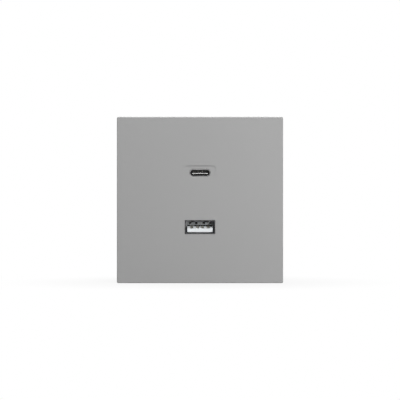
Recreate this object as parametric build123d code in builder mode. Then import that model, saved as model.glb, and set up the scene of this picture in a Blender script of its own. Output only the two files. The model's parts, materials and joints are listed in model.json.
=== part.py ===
from build123d import *
import os
from math import acos, atan2, degrees, hypot

# USB wall socket: a square cover plate over a flush-mounted insert with a USB-C and a USB-A receptacle.
# X runs to the right, Z up and Y into the wall, so the face of the cover looks along -Y.
# The origin is the centre of the wall plane, which is the rear face of the mounting ring.
# A height is a distance in front of the wall plane: height h lies at Y = -h, and what sits in the wall box
# has a negative height. All sizes are in millimetres.

# Cover plate
plate_size = 70.5
plate_corner_r = 0.6
plate_edge_r = 0.35
plate_face = 2.0
plate_projection = 10.5
skirt_wall = 1.6
skirt_gap = 0.4
seat_frame = 38.0
seat_rib = 1.2
hook_width = 6.0
hook_leg = 1.3
hook_gap = 0.25
hook_bite = 0.9
hook_nose = 0.4
hook_lead = 1.2
hook_end_gap = 0.4

# Port positions, above and below the centre
port_offset = 11.5

# USB-A receptacle
usb_a_mouth_width = 12.5
usb_a_mouth_height = 5.12
usb_a_sheet = 0.2
usb_a_corner_r = 0.5
usb_a_length = 13.9
usb_a_recess = 0.4
usb_a_side_gap = 0.05
usb_a_edge_gap = 0.22
usb_a_cutout_r = 0.3
usb_a_base = 4.2
tongue_width = 10.8
tongue_under_gap = 0.45
tongue_face = 1.5
tongue_bevel = 0.85
tongue_bevel_length = 1.1
tongue_recess = 0.8
finger_width = 2.0
finger_slit = 0.35
finger_pitch = 5.7
finger_root = 1.6
finger_tip = 8.4
finger_peak = 6.4
finger_lift_top = 0.5
finger_lift_side = 0.3
finger_lift_under = 0.2
finger_tip_lift = 0.1
contact_inner_pitch = 2.0
contact_outer_pitch = 7.0
contact_width = 1.0
contact_sheet = 0.25
contact_arch = 0.7
contact_arch_length = 3.8
contact_peak = 1.5
contact_tip_gap = 0.1
contact_slot_depth = 0.8
contact_slot_gap = 0.1
contact_seat_gap = 0.45
relief_size = 1.0
root_relief = 0.55
relief_lift = 1.4
relief_inner_pitch = 3.2
relief_outer_pitch = 8.6

# USB-C receptacle and the shallow pocket around it
usb_c_mouth_width = 8.34
usb_c_mouth_height = 2.56
usb_c_sheet = 0.25
usb_c_recess = 0.05
usb_c_base = 7.8
usb_c_step = 1.6
usb_c_step_width = 7.4
usb_c_step_height = 1.4
usb_c_tongue_width = 6.69
usb_c_tongue_height = 0.7
usb_c_tongue_recess = 0.85
usb_c_tip_r = 0.17
usb_c_contact_pitch = 0.75
usb_c_contact_width = 0.3
usb_c_contact_sheet = 0.08
usb_c_contact_length = 3.0
usb_c_contacts_a_side = 8
usb_c_cutout_gap = 0.06
usb_c_mouth_chamfer = 0.2
pocket_width = 13.5
pocket_height = 6.3
pocket_corner_r = 1.4
pocket_depth = 0.2
base_fit_gap = 0.1

# Mounting ring
ring_size = 68.0
ring_corner_r = 5.0
ring_sheet = 1.2
box_screw_spacing = 60.0
box_slot_width = 3.6
box_slot_length = 5.4
ring_screw_inset = 0.6
ring_screw_r = 1.0
ring_screw_gap = 0.05
ring_screw_head_r = 2.1
ring_screw_head = 1.4
ring_screw_tip_gap = 0.1
flange_hole_gap = 0.25

# Housing of the insert: a square whose corners are cut by a circle, to go into a round wall box
housing_width = 45.4
housing_round = 57.0
housing_depth = 28.0
housing_wall = 1.6
housing_corner_r = 2.0
housing_edge_r = 1.4
aperture_gap = 0.4
cut_over = 0.8
side_rib_width = 0.8
side_rib_height = 0.6
side_rib_pitch = 20.0
side_rib_start = 4.0
side_rib_end = 23.0

# Front shell
shell_step = 0.3
shell_corner_r = 3.0
shell_wall = 1.6
shell_edge = 0.8
seat_height = 1.1
shell_port_gap = 0.3
flange_lip = 2.0
flange_corner_r = 4.0
flange_thick = 2.0
ear_r = 3.8
collar_board_gap = 1.2
collar_wall = 1.4
collar_gap = 0.15
hook_window_gap = 0.3
hook_window_top_gap = 0.12
hook_window_low_gap = 0.2
barb_width = 5.6
barb_reach = 1.0
barb_depth = 2.4
barb_land = 0.5
barb_ramp = 1.5
barb_window_gap = 0.15

# Boards
board_thick = 1.6
board_gap = 0.3
board_spacing = 4.0
post_r = 2.4
post_flat_inset = 6.2
post_round_inset = 5.17
board_screw_r = 0.8
board_screw_gap = 0.05
board_screw_head_r = 1.9
board_screw_head = 1.2
board_screw_grip = 4.0
board_hole_gap = 0.2
leg_width = 1.2
leg_pitch = 3.0
leg_overhang = 0.8
leg_slot_gap = 0.2
spacer_edge = 2.3
spacer_r = 2.0
spacer_peg_r = 1.0
spacer_peg_overhang = 0.8
spacer_peg_end_gap = 0.2
spacer_peg_gap = 0.1
header_x = 5.5
header_z = -4.4
header_pitch = 2.54
header_pins_in_row = 4
header_width = 2.5
header_pin = 0.64
header_pin_overhang = 0.9
header_hole_gap = 0.15
support_r = 2.0
support_inset = 4.2

# Parts on the port board
controller_size = 5.0
controller_rise = 0.9
controller_corner = 0.4
controller_inset = 6.0
choke_size = 7.0
choke_rise = 4.2
choke_corner_r = 1.4
choke_edge = 0.35
choke_inset = 6.0

# Parts on the power board
transformer_x = 7.2
transformer_z = 7.4
transformer_lift = 1.2
transformer_floor_gap = 1.8
core_width = 14.0
core_depth = 6.0
core_leg = 2.2
core_centre_leg = 4.4
core_back = 2.2
core_edge_r = 0.4
bobbin_length = 15.0
bobbin_flange = 0.8
bobbin_wall = 0.7
bobbin_gap = 0.1
bobbin_rail = 2.4
winding_length = 12.4
winding_gap = 0.2
winding_corner_r = 3.0
input_can_diameter = 8.0
input_can_height = 12.0
input_can_places = ((-5.2, 14.6), (-13.6, 11.2))
output_can_diameter = 5.0
output_can_height = 8.0
output_can_x = 15.2
output_can_gap = 0.65
can_groove = 0.35
can_groove_at = 1.6
film_width = 10.0
film_depth = 5.0
film_height = 9.0
film_place = (-7.1, 3.4)
film_edge_r = 0.5
drum_diameter = 5.4
drum_waist = 4.0
drum_height = 9.0
drum_flange = 1.2
drum_place = (-15.2, 4.6)
fuse_diameter = 3.4
fuse_length = 9.0
fuse_cap = 1.8
fuse_cap_step = 0.15
fuse_x = -10.8
fuse_gap = 1.2
varistor_diameter = 5.8
varistor_thick = 3.0
varistor_x = -3.6
varistor_gap = 0.3
disc_diameter = 6.4
disc_thick = 2.6
disc_place = (16.4, 8.0)
disc_lead_width = 0.6
disc_lead_pitch = 4.4
disc_edge = 0.85
disc_lead = 2.0
bridge_size = (6.4, 5.0)
bridge_rise = 1.5
bridge_place = (-12.0, 6.0)
coupler_size = (4.6, 6.4)
coupler_rise = 2.4
coupler_place = (13.5, -9.0)
switch_size = (5.0, 4.0)
switch_rise = 1.5
switch_place = (-4.0, 8.0)
chip_draft = 6.0
chip_lead = 0.25
chip_lead_width = 0.42
chip_lead_reach = 0.9

# Push-in terminal
terminal_width = 28.0
terminal_height = 12.8
terminal_edge_gap = 0.5
terminal_wall = 1.0
terminal_partition = 1.2
block_depth = 9.6
cap_stand = 0.6
cap_edge = 0.5
cap_gap = 0.15
wire_pitch = 6.0
wire_r = 1.6
wire_mouth_chamfer = 0.4
busbar_sheet = 0.8
busbar_side_gap = 0.5
busbar_end_gap = 0.6
busbar_pin = 1.0
busbar_pin_overhang = 0.8
busbar_pin_gap = 0.15
spring_sheet = 0.4
spring_bend_r = 1.3
spring_side_gap = 0.7
spring_leg_gap = 1.0
spring_bend_depth = 2.2
spring_tip_depth = 6.8
spring_tip_gap = 0.3
spring_back_depth = 7.6
button_width = 8.0
button_height = 2.2
button_lift = 5.0
button_stand = 1.8
button_reach = 1.7
button_shoulder = 0.8
button_shoulder_lip = 0.8
button_shoulder_gap = 0.1
button_gap = 0.15
button_edge = 0.3
button_slot_length = 4.6
button_slot_width = 0.8
button_slot_depth = 0.5

# Heights that follow from the sizes above
cover_back = plate_projection - plate_face
shell_front = cover_back - seat_height
skirt_end = ring_sheet + skirt_gap
usb_a_front = plate_projection - usb_a_recess
pocket_floor = plate_projection - pocket_depth
usb_c_front = pocket_floor - usb_c_recess
shell_inside = shell_front - shell_wall
flange_front = ring_sheet + flange_thick
hook_end = flange_front + hook_end_gap
hook_catch = hook_end + hook_lead + hook_nose
port_board_front = usb_a_front - usb_a_length
port_board_back = port_board_front - board_thick
collar_end = port_board_front + collar_board_gap
barb_top = collar_end + barb_depth
power_board_front = port_board_back - board_spacing
power_board_back = power_board_front - board_thick
floor_inside = housing_wall - housing_depth
cap_front = power_board_back - block_depth
cap_back = -housing_depth - cap_stand
cap_depth = cap_front - cap_back

# Places that follow from the sizes above
usb_a_z = -port_offset
usb_c_z = port_offset
usb_a_shell_width = usb_a_mouth_width + 2 * usb_a_sheet
usb_a_shell_height = usb_a_mouth_height + 2 * usb_a_sheet
usb_c_shell_width = usb_c_mouth_width + 2 * usb_c_sheet
usb_c_shell_height = usb_c_mouth_height + 2 * usb_c_sheet
tongue_low = usb_a_z - usb_a_mouth_height / 2 + tongue_under_gap
tongue_top = tongue_low + tongue_face + tongue_bevel
contact_z = tongue_top - contact_slot_depth + contact_seat_gap + contact_sheet / 2
tongue_front = usb_a_front - tongue_recess
contact_places = [
    side * pitch / 2
    for pitch in (contact_outer_pitch, contact_inner_pitch)
    for side in (-1, 1)
]
collar_inset = housing_wall + collar_gap
collar_face = housing_width / 2 - collar_inset
shell_box = housing_width + 2 * shell_step
flange_size = shell_box + 2 * flange_lip
ring_screw_at = flange_size / 2 - ring_screw_inset
board_inset = housing_wall + board_gap
post_at = min(housing_width / 2 - post_flat_inset, (housing_round / 2 - post_round_inset) / 2**0.5)
support_at = (housing_round / 2 - support_inset) / 2**0.5
spacer_at = housing_width / 2 - board_inset - spacer_edge
terminal_low = housing_wall + terminal_edge_gap - housing_width / 2
terminal_top = terminal_low + terminal_height
terminal_z = terminal_low + terminal_height / 2
cavity_low = terminal_low + terminal_wall
cavity_top = terminal_top - terminal_wall
cavity_width = (terminal_width - 2 * terminal_wall - terminal_partition) / 2
pole_x = terminal_partition / 2 + cavity_width / 2
wire_z = cavity_low + busbar_sheet + wire_r
busbar_z = cavity_low + busbar_sheet / 2
button_z = cavity_low + button_lift + button_height / 2
poles = {"live": -pole_x, "neutral": pole_x}

sides = [(1, 0, 0), (0, 0, 1), (-1, 0, 0), (0, 0, -1)]


def level(height):
    """Sketch plane parallel to the wall at this height, with X and Z as its axes."""
    return Plane.XZ.offset(height)


def side_plane(outward, x=0.0, z=0.0):
    """Plane through (x, z) whose own x is the height and whose own y is the outward direction."""
    along = Vector(0, -1, 0)
    return Plane(origin=(x, 0, z), x_dir=along, z_dir=along.cross(Vector(outward)))


def housing_outline(inset):
    """Draws the housing's outline, inset from its outer wall: a square cut by a circle."""
    width = housing_width - 2 * inset
    Rectangle(width, width)
    Circle(housing_round / 2 - inset, mode=Mode.INTERSECT)


def span(low, high, inner, outer):
    """Draws a rectangle from two heights and two outward distances on a side plane."""
    with Locations(((low + high) / 2, (inner + outer) / 2)):
        Rectangle(high - low, outer - inner)


def turned_screw(shank_r, length, head_r, head):
    """Pan-head screw about the Y axis: its head's seat lies at height 0 and its shank runs below it."""
    with BuildPart() as screw:
        with BuildSketch(Plane.XY):
            with BuildLine():
                Polyline(
                    (0, -head),
                    (0, length),
                    (shank_r, length),
                    (shank_r, 0),
                    (head_r, 0),
                    (head_r, -head),
                    close=True,
                )
            make_face()
        revolve(axis=Axis.Y)
    return screw.part


def turned_can(diameter, tall):
    """Electrolytic can about the Y axis, standing on height 0 and running to -tall, with a crimped groove."""
    radius = diameter / 2
    with BuildPart() as can:
        with BuildSketch(Plane.XY):
            with BuildLine():
                Polyline(
                    (0, 0),
                    (radius, 0),
                    (radius, can_groove_at - can_groove),
                    (radius - can_groove, can_groove_at),
                    (radius, can_groove_at + can_groove),
                    (radius, tall),
                    (0, tall),
                    close=True,
                )
            make_face()
        revolve(axis=Axis.Y)
        chamfer(can.faces().sort_by(Axis.Y)[-1].edges(), can_groove)
    return can.part


def coated_disc(diameter, thick):
    """Disc capacitor or varistor on edge, standing on two leads at height 0, with its axis along X."""
    with BuildPart() as disc:
        with BuildSketch(Plane.YZ.offset(-thick / 2)):
            with Locations((disc_lead + diameter / 2, 0)):
                Circle(diameter / 2)
        extrude(amount=thick)
        chamfer(disc.edges().filter_by(GeomType.CIRCLE), disc_edge)
        with BuildSketch(Plane.XZ):
            with Locations((0, disc_lead_pitch / 2), (0, -disc_lead_pitch / 2)):
                Rectangle(disc_lead_width, disc_lead_width)
        extrude(amount=-disc_lead - diameter / 2)
    return disc.part


def leaded_chip(size, rise, pairs):
    """Moulded chip on height 0 with draft on its sides and bent leads along its two X sides."""
    with BuildPart() as chip:
        with BuildSketch(Plane.XZ.offset(chip_lead)):
            Rectangle(size[0], size[1])
        extrude(amount=rise - chip_lead, taper=chip_draft)
        for way in (-1, 1):
            for lead in range(pairs):
                place = (lead + 0.5 - pairs / 2) * size[1] / pairs
                with BuildSketch(Plane.XY.offset(place - chip_lead_width / 2)):
                    with BuildLine():
                        Polyline(
                            (way * (size[0] / 2 - 2 * chip_lead), -rise / 2),
                            (way * (size[0] / 2 + chip_lead_reach / 2), -rise / 2),
                            (way * (size[0] / 2 + chip_lead_reach / 2), -chip_lead / 2),
                            (way * (size[0] / 2 + chip_lead_reach), -chip_lead / 2),
                        )
                    trace(line_width=chip_lead)
                extrude(amount=chip_lead_width)
    return chip.part


# Cover plate: face with a pocket and two openings, skirt, a rib frame that seats on the front shell,
# and four snap hooks
with BuildPart() as cover_plate:
    with BuildSketch(level(cover_back)):
        RectangleRounded(plate_size, plate_size, plate_corner_r)
    extrude(amount=plate_face)
    fillet(cover_plate.faces().sort_by(Axis.Y)[0].edges(), plate_edge_r)
    with BuildSketch(level(skirt_end)):
        RectangleRounded(plate_size, plate_size, plate_corner_r)
        Rectangle(plate_size - 2 * skirt_wall, plate_size - 2 * skirt_wall, mode=Mode.SUBTRACT)
    extrude(amount=cover_back - skirt_end)
    with BuildSketch(level(shell_front)):
        Rectangle(seat_frame + seat_rib, seat_frame + seat_rib)
        Rectangle(seat_frame - seat_rib, seat_frame - seat_rib, mode=Mode.SUBTRACT)
    extrude(amount=cover_back - shell_front)
    hook_inner = shell_box / 2 + hook_gap
    hook_tip = hook_inner - hook_bite
    for outward in sides:
        with BuildSketch(side_plane(outward)):
            span(hook_end, cover_back, hook_inner, hook_inner + hook_leg)
            with BuildLine():
                Polyline(
                    (hook_end, hook_inner),
                    (hook_end + hook_lead, hook_tip),
                    (hook_catch, hook_tip),
                    (hook_catch, hook_inner),
                    close=True,
                )
            make_face()
        extrude(amount=hook_width / 2, both=True)
    with BuildSketch(level(cover_back)):
        with Locations((0, usb_a_z)):
            RectangleRounded(
                usb_a_shell_width + 2 * usb_a_side_gap,
                usb_a_shell_height + 2 * usb_a_edge_gap,
                usb_a_cutout_r,
            )
        with Locations((0, usb_c_z)):
            SlotOverall(usb_c_shell_width + 2 * usb_c_cutout_gap, usb_c_shell_height + 2 * usb_c_cutout_gap)
    extrude(amount=plate_face, mode=Mode.SUBTRACT)
    with BuildSketch(level(pocket_floor)):
        with Locations((0, usb_c_z)):
            RectangleRounded(pocket_width, pocket_height, pocket_corner_r)
    extrude(amount=pocket_depth, mode=Mode.SUBTRACT)
    pocket_face = cover_plate.faces().filter_by(Axis.Y).sort_by(Axis.Y)[1]
    chamfer(pocket_face.inner_wires()[0].edges(), usb_c_mouth_chamfer)
cover_plate.part.label = "cover_plate"

# USB-A shell: folded sheet with six spring fingers cut from its walls, and four legs for the board
with BuildPart() as usb_a_shell:
    with BuildSketch(level(port_board_front)):
        with Locations((0, usb_a_z)):
            RectangleRounded(usb_a_shell_width, usb_a_shell_height, usb_a_corner_r)
            RectangleRounded(
                usb_a_mouth_width, usb_a_mouth_height, usb_a_corner_r - usb_a_sheet, mode=Mode.SUBTRACT
            )
    extrude(amount=usb_a_length)
    finger_sets = [
        ((0, 0, 1), (-finger_pitch / 2, finger_pitch / 2), finger_lift_top),
        ((0, 0, -1), (-finger_pitch / 2, finger_pitch / 2), finger_lift_under),
        ((1, 0, 0), (0,), finger_lift_side),
        ((-1, 0, 0), (0,), finger_lift_side),
    ]
    for outward, places, lift in finger_sets:
        wall = usb_a_mouth_height / 2 if outward[2] else usb_a_mouth_width / 2
        for place in places:
            plane = side_plane(outward, x=place, z=usb_a_z)
            with BuildSketch(plane):
                span(finger_root, finger_tip + finger_slit, wall - usb_a_sheet, wall + 2 * usb_a_sheet)
            extrude(amount=finger_width / 2 + finger_slit, both=True, mode=Mode.SUBTRACT)
            with BuildSketch(plane):
                with BuildLine():
                    Polyline(
                        (finger_root - usb_a_sheet, wall + usb_a_sheet / 2),
                        (finger_root, wall + usb_a_sheet / 2),
                        (finger_peak, wall + usb_a_sheet / 2 - lift),
                        (finger_tip, wall + usb_a_sheet / 2 - finger_tip_lift),
                    )
                trace(line_width=usb_a_sheet)
            extrude(amount=finger_width / 2, both=True)
    with BuildSketch(level(port_board_front)):
        with Locations((0, usb_a_z)):
            with GridLocations(usb_a_mouth_width + usb_a_sheet, leg_pitch, 2, 2):
                Rectangle(usb_a_sheet, leg_width)
    extrude(amount=-board_thick - leg_overhang)
usb_a_shell.part.label = "usb_a_shell"

# USB-A insulator: a base block with core holes and a slit over the root of its tongue, whose front is
# bevelled and slotted for four contacts
with BuildPart() as usb_a_insulator:
    with BuildSketch(level(port_board_front)):
        with Locations((0, usb_a_z)):
            RectangleRounded(
                usb_a_mouth_width - 2 * base_fit_gap, usb_a_mouth_height - 2 * base_fit_gap, usb_a_cutout_r
            )
    extrude(amount=usb_a_base)
    with BuildSketch(side_plane((0, 0, 1))):
        with BuildLine():
            Polyline(
                (port_board_front, tongue_low),
                (tongue_front, tongue_low),
                (tongue_front, tongue_low + tongue_face),
                (tongue_front - tongue_bevel_length, tongue_top),
                (port_board_front, tongue_top),
                close=True,
            )
        make_face()
    extrude(amount=tongue_width / 2, both=True)
    slot_low = tongue_top - contact_slot_depth
    for x in contact_places:
        with BuildSketch(side_plane((0, 0, 1), x=x)):
            span(port_board_front, tongue_front, slot_low, tongue_top)
        extrude(amount=contact_width / 2 + contact_slot_gap, both=True, mode=Mode.SUBTRACT)
    with BuildSketch(level(port_board_front)):
        with Locations((0, tongue_top + root_relief / 2)):
            Rectangle(tongue_width, root_relief)
        with Locations((0, tongue_top + relief_lift)):
            for pitch in (relief_inner_pitch, relief_outer_pitch):
                with GridLocations(pitch, 0, 2, 1):
                    Rectangle(relief_size, relief_size)
    extrude(amount=usb_a_base, mode=Mode.SUBTRACT)
usb_a_insulator.part.label = "usb_a_insulator"

# USB-A contacts: four strips in the tongue's slots, arched near its front, with tails through the board
contact_tip = tongue_front - tongue_bevel_length - contact_tip_gap
with BuildPart() as usb_a_contacts:
    for x in contact_places:
        with BuildSketch(side_plane((0, 0, 1), x=x)):
            with BuildLine():
                Polyline(
                    (port_board_back - leg_overhang, contact_z),
                    (contact_tip - contact_arch_length, contact_z),
                    (contact_tip - contact_peak, contact_z + contact_arch),
                    (contact_tip, contact_z),
                )
            trace(line_width=contact_sheet)
        extrude(amount=contact_width / 2, both=True)
usb_a_contacts.part.label = "usb_a_contacts"

# USB-C shell: a drawn tube of slot section with four legs for the board
with BuildPart() as usb_c_shell:
    with BuildSketch(level(port_board_front)):
        with Locations((0, usb_c_z)):
            SlotOverall(usb_c_shell_width, usb_c_shell_height)
            SlotOverall(usb_c_mouth_width, usb_c_mouth_height, mode=Mode.SUBTRACT)
    extrude(amount=usb_c_front - port_board_front)
    with BuildSketch(level(port_board_front)):
        with Locations((0, usb_c_z)):
            with GridLocations(leg_pitch, usb_c_mouth_height + usb_c_sheet, 2, 2):
                Rectangle(leg_width, usb_c_sheet)
    extrude(amount=-board_thick - leg_overhang)
usb_c_shell.part.label = "usb_c_shell"

# USB-C tongue: a base block in the shell, a step, and the thin tongue with a rounded tip
usb_c_tongue_front = usb_c_front - usb_c_tongue_recess
usb_c_step_front = port_board_front + usb_c_base + usb_c_step
with BuildPart() as usb_c_tongue:
    with BuildSketch(level(port_board_front)):
        with Locations((0, usb_c_z)):
            SlotOverall(usb_c_mouth_width - 2 * base_fit_gap, usb_c_mouth_height - 2 * base_fit_gap)
    extrude(amount=usb_c_base)
    with BuildSketch(level(port_board_front + usb_c_base)):
        with Locations((0, usb_c_z)):
            Rectangle(usb_c_step_width, usb_c_step_height)
    extrude(amount=usb_c_step)
    with BuildSketch(level(usb_c_step_front)):
        with Locations((0, usb_c_z)):
            Rectangle(usb_c_tongue_width, usb_c_tongue_height)
    extrude(amount=usb_c_tongue_front - usb_c_step_front)
    tip = usb_c_tongue.faces().sort_by(Axis.Y)[0]
    fillet(tip.edges().filter_by(Axis.X), usb_c_tip_r)
usb_c_tongue.part.label = "usb_c_tongue"

# USB-C contacts: thin strips on both faces of the tongue
with BuildPart() as usb_c_contacts:
    with BuildSketch(level(usb_c_step_front)):
        with Locations((0, usb_c_z)):
            with GridLocations(
                usb_c_contact_pitch, usb_c_tongue_height + usb_c_contact_sheet, usb_c_contacts_a_side, 2
            ):
                Rectangle(usb_c_contact_width, usb_c_contact_sheet)
    extrude(amount=usb_c_contact_length)
usb_c_contacts.part.label = "usb_c_contacts"

# Mounting ring: punched sheet with the housing's aperture and slots for the wall box screws
with BuildPart() as support_ring:
    with BuildSketch(level(0)):
        RectangleRounded(ring_size, ring_size, ring_corner_r)
    extrude(amount=ring_sheet)
    with BuildSketch(level(0)):
        housing_outline(-aperture_gap)
    extrude(amount=ring_sheet, mode=Mode.SUBTRACT)
    with BuildSketch(level(0)):
        with GridLocations(box_screw_spacing, 0, 2, 1):
            SlotOverall(box_slot_length, box_slot_width)
        with GridLocations(0, box_screw_spacing, 1, 2):
            SlotOverall(box_slot_length, box_slot_width, rotation=90)
        with GridLocations(2 * ring_screw_at, 2 * ring_screw_at, 2, 2):
            Circle(ring_screw_r + ring_screw_gap)
    extrude(amount=ring_sheet, mode=Mode.SUBTRACT)
support_ring.part.label = "support_ring"

# Ring screws: from the front shell's ears into the ring
ring_screw = turned_screw(
    ring_screw_r, flange_front - ring_screw_tip_gap, ring_screw_head_r, ring_screw_head
)
with BuildPart() as ring_screws:
    with Locations(
        *[(x * ring_screw_at, -flange_front, z * ring_screw_at) for x in (-1, 1) for z in (-1, 1)]
    ):
        add(ring_screw)
ring_screws.part.label = "ring_screws"

# Front shell: flange with four ears, port box, collar with snap barbs, and posts for the port board
with BuildPart() as front_shell:
    with BuildSketch(level(ring_sheet)):
        RectangleRounded(flange_size, flange_size, flange_corner_r)
        with GridLocations(2 * ring_screw_at, 2 * ring_screw_at, 2, 2):
            Circle(ear_r)
    extrude(amount=flange_thick)
    with BuildSketch(level(flange_front)):
        RectangleRounded(shell_box, shell_box, shell_corner_r)
    extrude(amount=shell_front - flange_front)
    chamfer(front_shell.faces().sort_by(Axis.Y)[0].edges(), shell_edge)
    with BuildSketch(level(collar_end)):
        housing_outline(collar_inset)
    extrude(amount=ring_sheet - collar_end)
    with BuildSketch(level(collar_end)):
        housing_outline(collar_inset + collar_wall)
    extrude(amount=flange_front - collar_end, mode=Mode.SUBTRACT)
    with BuildSketch(level(flange_front)):
        RectangleRounded(
            shell_box - 2 * shell_wall, shell_box - 2 * shell_wall, shell_corner_r - shell_wall
        )
    extrude(amount=shell_inside - flange_front, mode=Mode.SUBTRACT)
    with BuildSketch(level(port_board_front)):
        with GridLocations(2 * post_at, 2 * post_at, 2, 2):
            Circle(post_r)
    extrude(amount=shell_inside - port_board_front)
    with BuildSketch(level(port_board_front)):
        with GridLocations(2 * post_at, 2 * post_at, 2, 2):
            Circle(board_screw_r + board_screw_gap)
    extrude(amount=board_screw_grip, mode=Mode.SUBTRACT)
    with BuildSketch(level(shell_inside)):
        with Locations((0, usb_a_z)):
            Rectangle(usb_a_shell_width + 2 * shell_port_gap, usb_a_shell_height + 2 * shell_port_gap)
        with Locations((0, usb_c_z)):
            SlotOverall(usb_c_shell_width + 2 * shell_port_gap, usb_c_shell_height + 2 * shell_port_gap)
    extrude(amount=shell_wall, mode=Mode.SUBTRACT)
    with BuildSketch(level(ring_sheet)):
        with GridLocations(2 * ring_screw_at, 2 * ring_screw_at, 2, 2):
            Circle(ring_screw_r + flange_hole_gap)
    extrude(amount=flange_thick, mode=Mode.SUBTRACT)
    for outward in sides:
        with BuildSketch(side_plane(outward)):
            with BuildLine():
                Polyline(
                    (barb_top, collar_face - collar_wall / 2),
                    (barb_top, collar_face + barb_reach),
                    (barb_top - barb_land, collar_face + barb_reach),
                    (barb_top - barb_land - barb_ramp, collar_face),
                    (barb_top - barb_land - barb_ramp, collar_face - collar_wall / 2),
                    close=True,
                )
            make_face()
        extrude(amount=barb_width / 2, both=True)
        with BuildSketch(side_plane(outward)):
            span(
                flange_front + hook_window_low_gap,
                hook_catch + hook_window_top_gap,
                shell_box / 2 - shell_wall - cut_over,
                shell_box / 2 + cut_over,
            )
        extrude(amount=hook_width / 2 + hook_window_gap, both=True, mode=Mode.SUBTRACT)
front_shell.part.label = "front_shell"

# Base shell: deep moulding in the wall box, with barb windows, side ribs, supports and the terminal's opening
with BuildPart() as base_shell:
    with BuildSketch(level(-housing_depth)):
        housing_outline(housing_corner_r)
        offset(amount=housing_corner_r, kind=Kind.ARC)
    extrude(amount=ring_sheet + housing_depth)
    fillet(base_shell.faces().sort_by(Axis.Y)[-1].edges(), housing_edge_r)
    with BuildSketch(level(floor_inside)):
        housing_outline(housing_wall)
    extrude(amount=ring_sheet - floor_inside, mode=Mode.SUBTRACT)
    with BuildSketch(level(floor_inside)):
        with GridLocations(2 * support_at, 2 * support_at, 2, 2):
            Circle(support_r)
    extrude(amount=power_board_back - floor_inside)
    with BuildSketch(level(-housing_depth)):
        with Locations((0, terminal_z)):
            Rectangle(terminal_width + 2 * cap_gap, terminal_height + 2 * cap_gap)
    extrude(amount=housing_wall, mode=Mode.SUBTRACT)
    for outward in sides:
        with BuildSketch(side_plane(outward)):
            span(
                barb_top - barb_land - barb_ramp - barb_window_gap,
                barb_top + barb_window_gap,
                housing_width / 2 - housing_wall - cut_over,
                housing_width / 2 + cut_over,
            )
        extrude(amount=barb_width / 2 + barb_window_gap, both=True, mode=Mode.SUBTRACT)
        for place in (-side_rib_pitch / 2, side_rib_pitch / 2):
            across = (place, 0) if outward[2] else (0, place)
            with BuildSketch(side_plane(outward, x=across[0], z=across[1])):
                span(
                    -side_rib_end,
                    -side_rib_start,
                    housing_width / 2 - housing_wall / 2,
                    housing_width / 2 + side_rib_height,
                )
            extrude(amount=side_rib_width / 2, both=True)
base_shell.part.label = "base_shell"

# Port board: carries both receptacles behind the front shell
with BuildPart() as port_board:
    with BuildSketch(level(port_board_front)):
        housing_outline(board_inset)
        with GridLocations(2 * post_at, 2 * post_at, 2, 2):
            Circle(board_screw_r + board_hole_gap, mode=Mode.SUBTRACT)
        with GridLocations(2 * spacer_at, 0, 2, 1):
            Circle(spacer_peg_r + spacer_peg_gap, mode=Mode.SUBTRACT)
        with Locations((header_x, header_z)):
            with GridLocations(header_pitch, 0, header_pins_in_row, 1):
                Rectangle(
                    header_pin + 2 * header_hole_gap, header_pin + 2 * header_hole_gap, mode=Mode.SUBTRACT
                )
        with Locations(*[(x, contact_z) for x in contact_places]):
            Rectangle(
                contact_width + 2 * leg_slot_gap, contact_sheet + 2 * leg_slot_gap, mode=Mode.SUBTRACT
            )
        with Locations((0, usb_a_z)):
            with GridLocations(usb_a_mouth_width + usb_a_sheet, leg_pitch, 2, 2):
                Rectangle(usb_a_sheet + 2 * leg_slot_gap, leg_width + 2 * leg_slot_gap, mode=Mode.SUBTRACT)
        with Locations((0, usb_c_z)):
            with GridLocations(leg_pitch, usb_c_mouth_height + usb_c_sheet, 2, 2):
                Rectangle(leg_width + 2 * leg_slot_gap, usb_c_sheet + 2 * leg_slot_gap, mode=Mode.SUBTRACT)
    extrude(amount=-board_thick)
port_board.part.label = "port_board"

# Board screws: from behind the port board into the front shell's posts
board_screw = turned_screw(
    board_screw_r, board_thick + board_screw_grip - board_hole_gap, board_screw_head_r, board_screw_head
)
with BuildPart() as board_screws:
    with Locations(
        *[
            Location((x * post_at, -port_board_back, z * post_at), (180, 0, 0))
            for x in (-1, 1)
            for z in (-1, 1)
        ]
    ):
        add(board_screw)
board_screws.part.label = "board_screws"

# Charge controller: flat chip on the front of the port board
with BuildPart() as charge_controller:
    with BuildSketch(level(port_board_front)):
        with Locations((spacer_at - controller_inset, 0)):
            Rectangle(controller_size, controller_size)
    extrude(amount=controller_rise)
    chamfer(charge_controller.edges().filter_by(Axis.Y).sort_by(Axis.X)[-1], controller_corner)
charge_controller.part.label = "charge_controller"

# Port inductor: moulded block with rounded corners on the front of the port board
with BuildPart() as port_inductor:
    with BuildSketch(level(port_board_front)):
        with Locations((choke_inset - spacer_at, 0)):
            RectangleRounded(choke_size, choke_size, choke_corner_r)
    extrude(amount=choke_rise)
    chamfer(port_inductor.faces().sort_by(Axis.Y)[0].edges(), choke_edge)
port_inductor.part.label = "port_inductor"

# Board spacers: snap-in posts whose pegs go through both boards
peg_ends = (port_board_front + spacer_peg_overhang, power_board_back + spacer_peg_end_gap)
with BuildPart() as spacer:
    with BuildSketch(Plane.XY):
        with BuildLine():
            Polyline(
                (0, -peg_ends[0]),
                (spacer_peg_r, -peg_ends[0]),
                (spacer_peg_r, -port_board_back),
                (spacer_r, -port_board_back),
                (spacer_r, -power_board_front),
                (spacer_peg_r, -power_board_front),
                (spacer_peg_r, -peg_ends[1]),
                (0, -peg_ends[1]),
                close=True,
            )
        make_face()
    revolve(axis=Axis.Y)
with BuildPart() as board_spacers:
    with Locations((-spacer_at, 0, 0), (spacer_at, 0, 0)):
        add(spacer.part)
board_spacers.part.label = "board_spacers"

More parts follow.
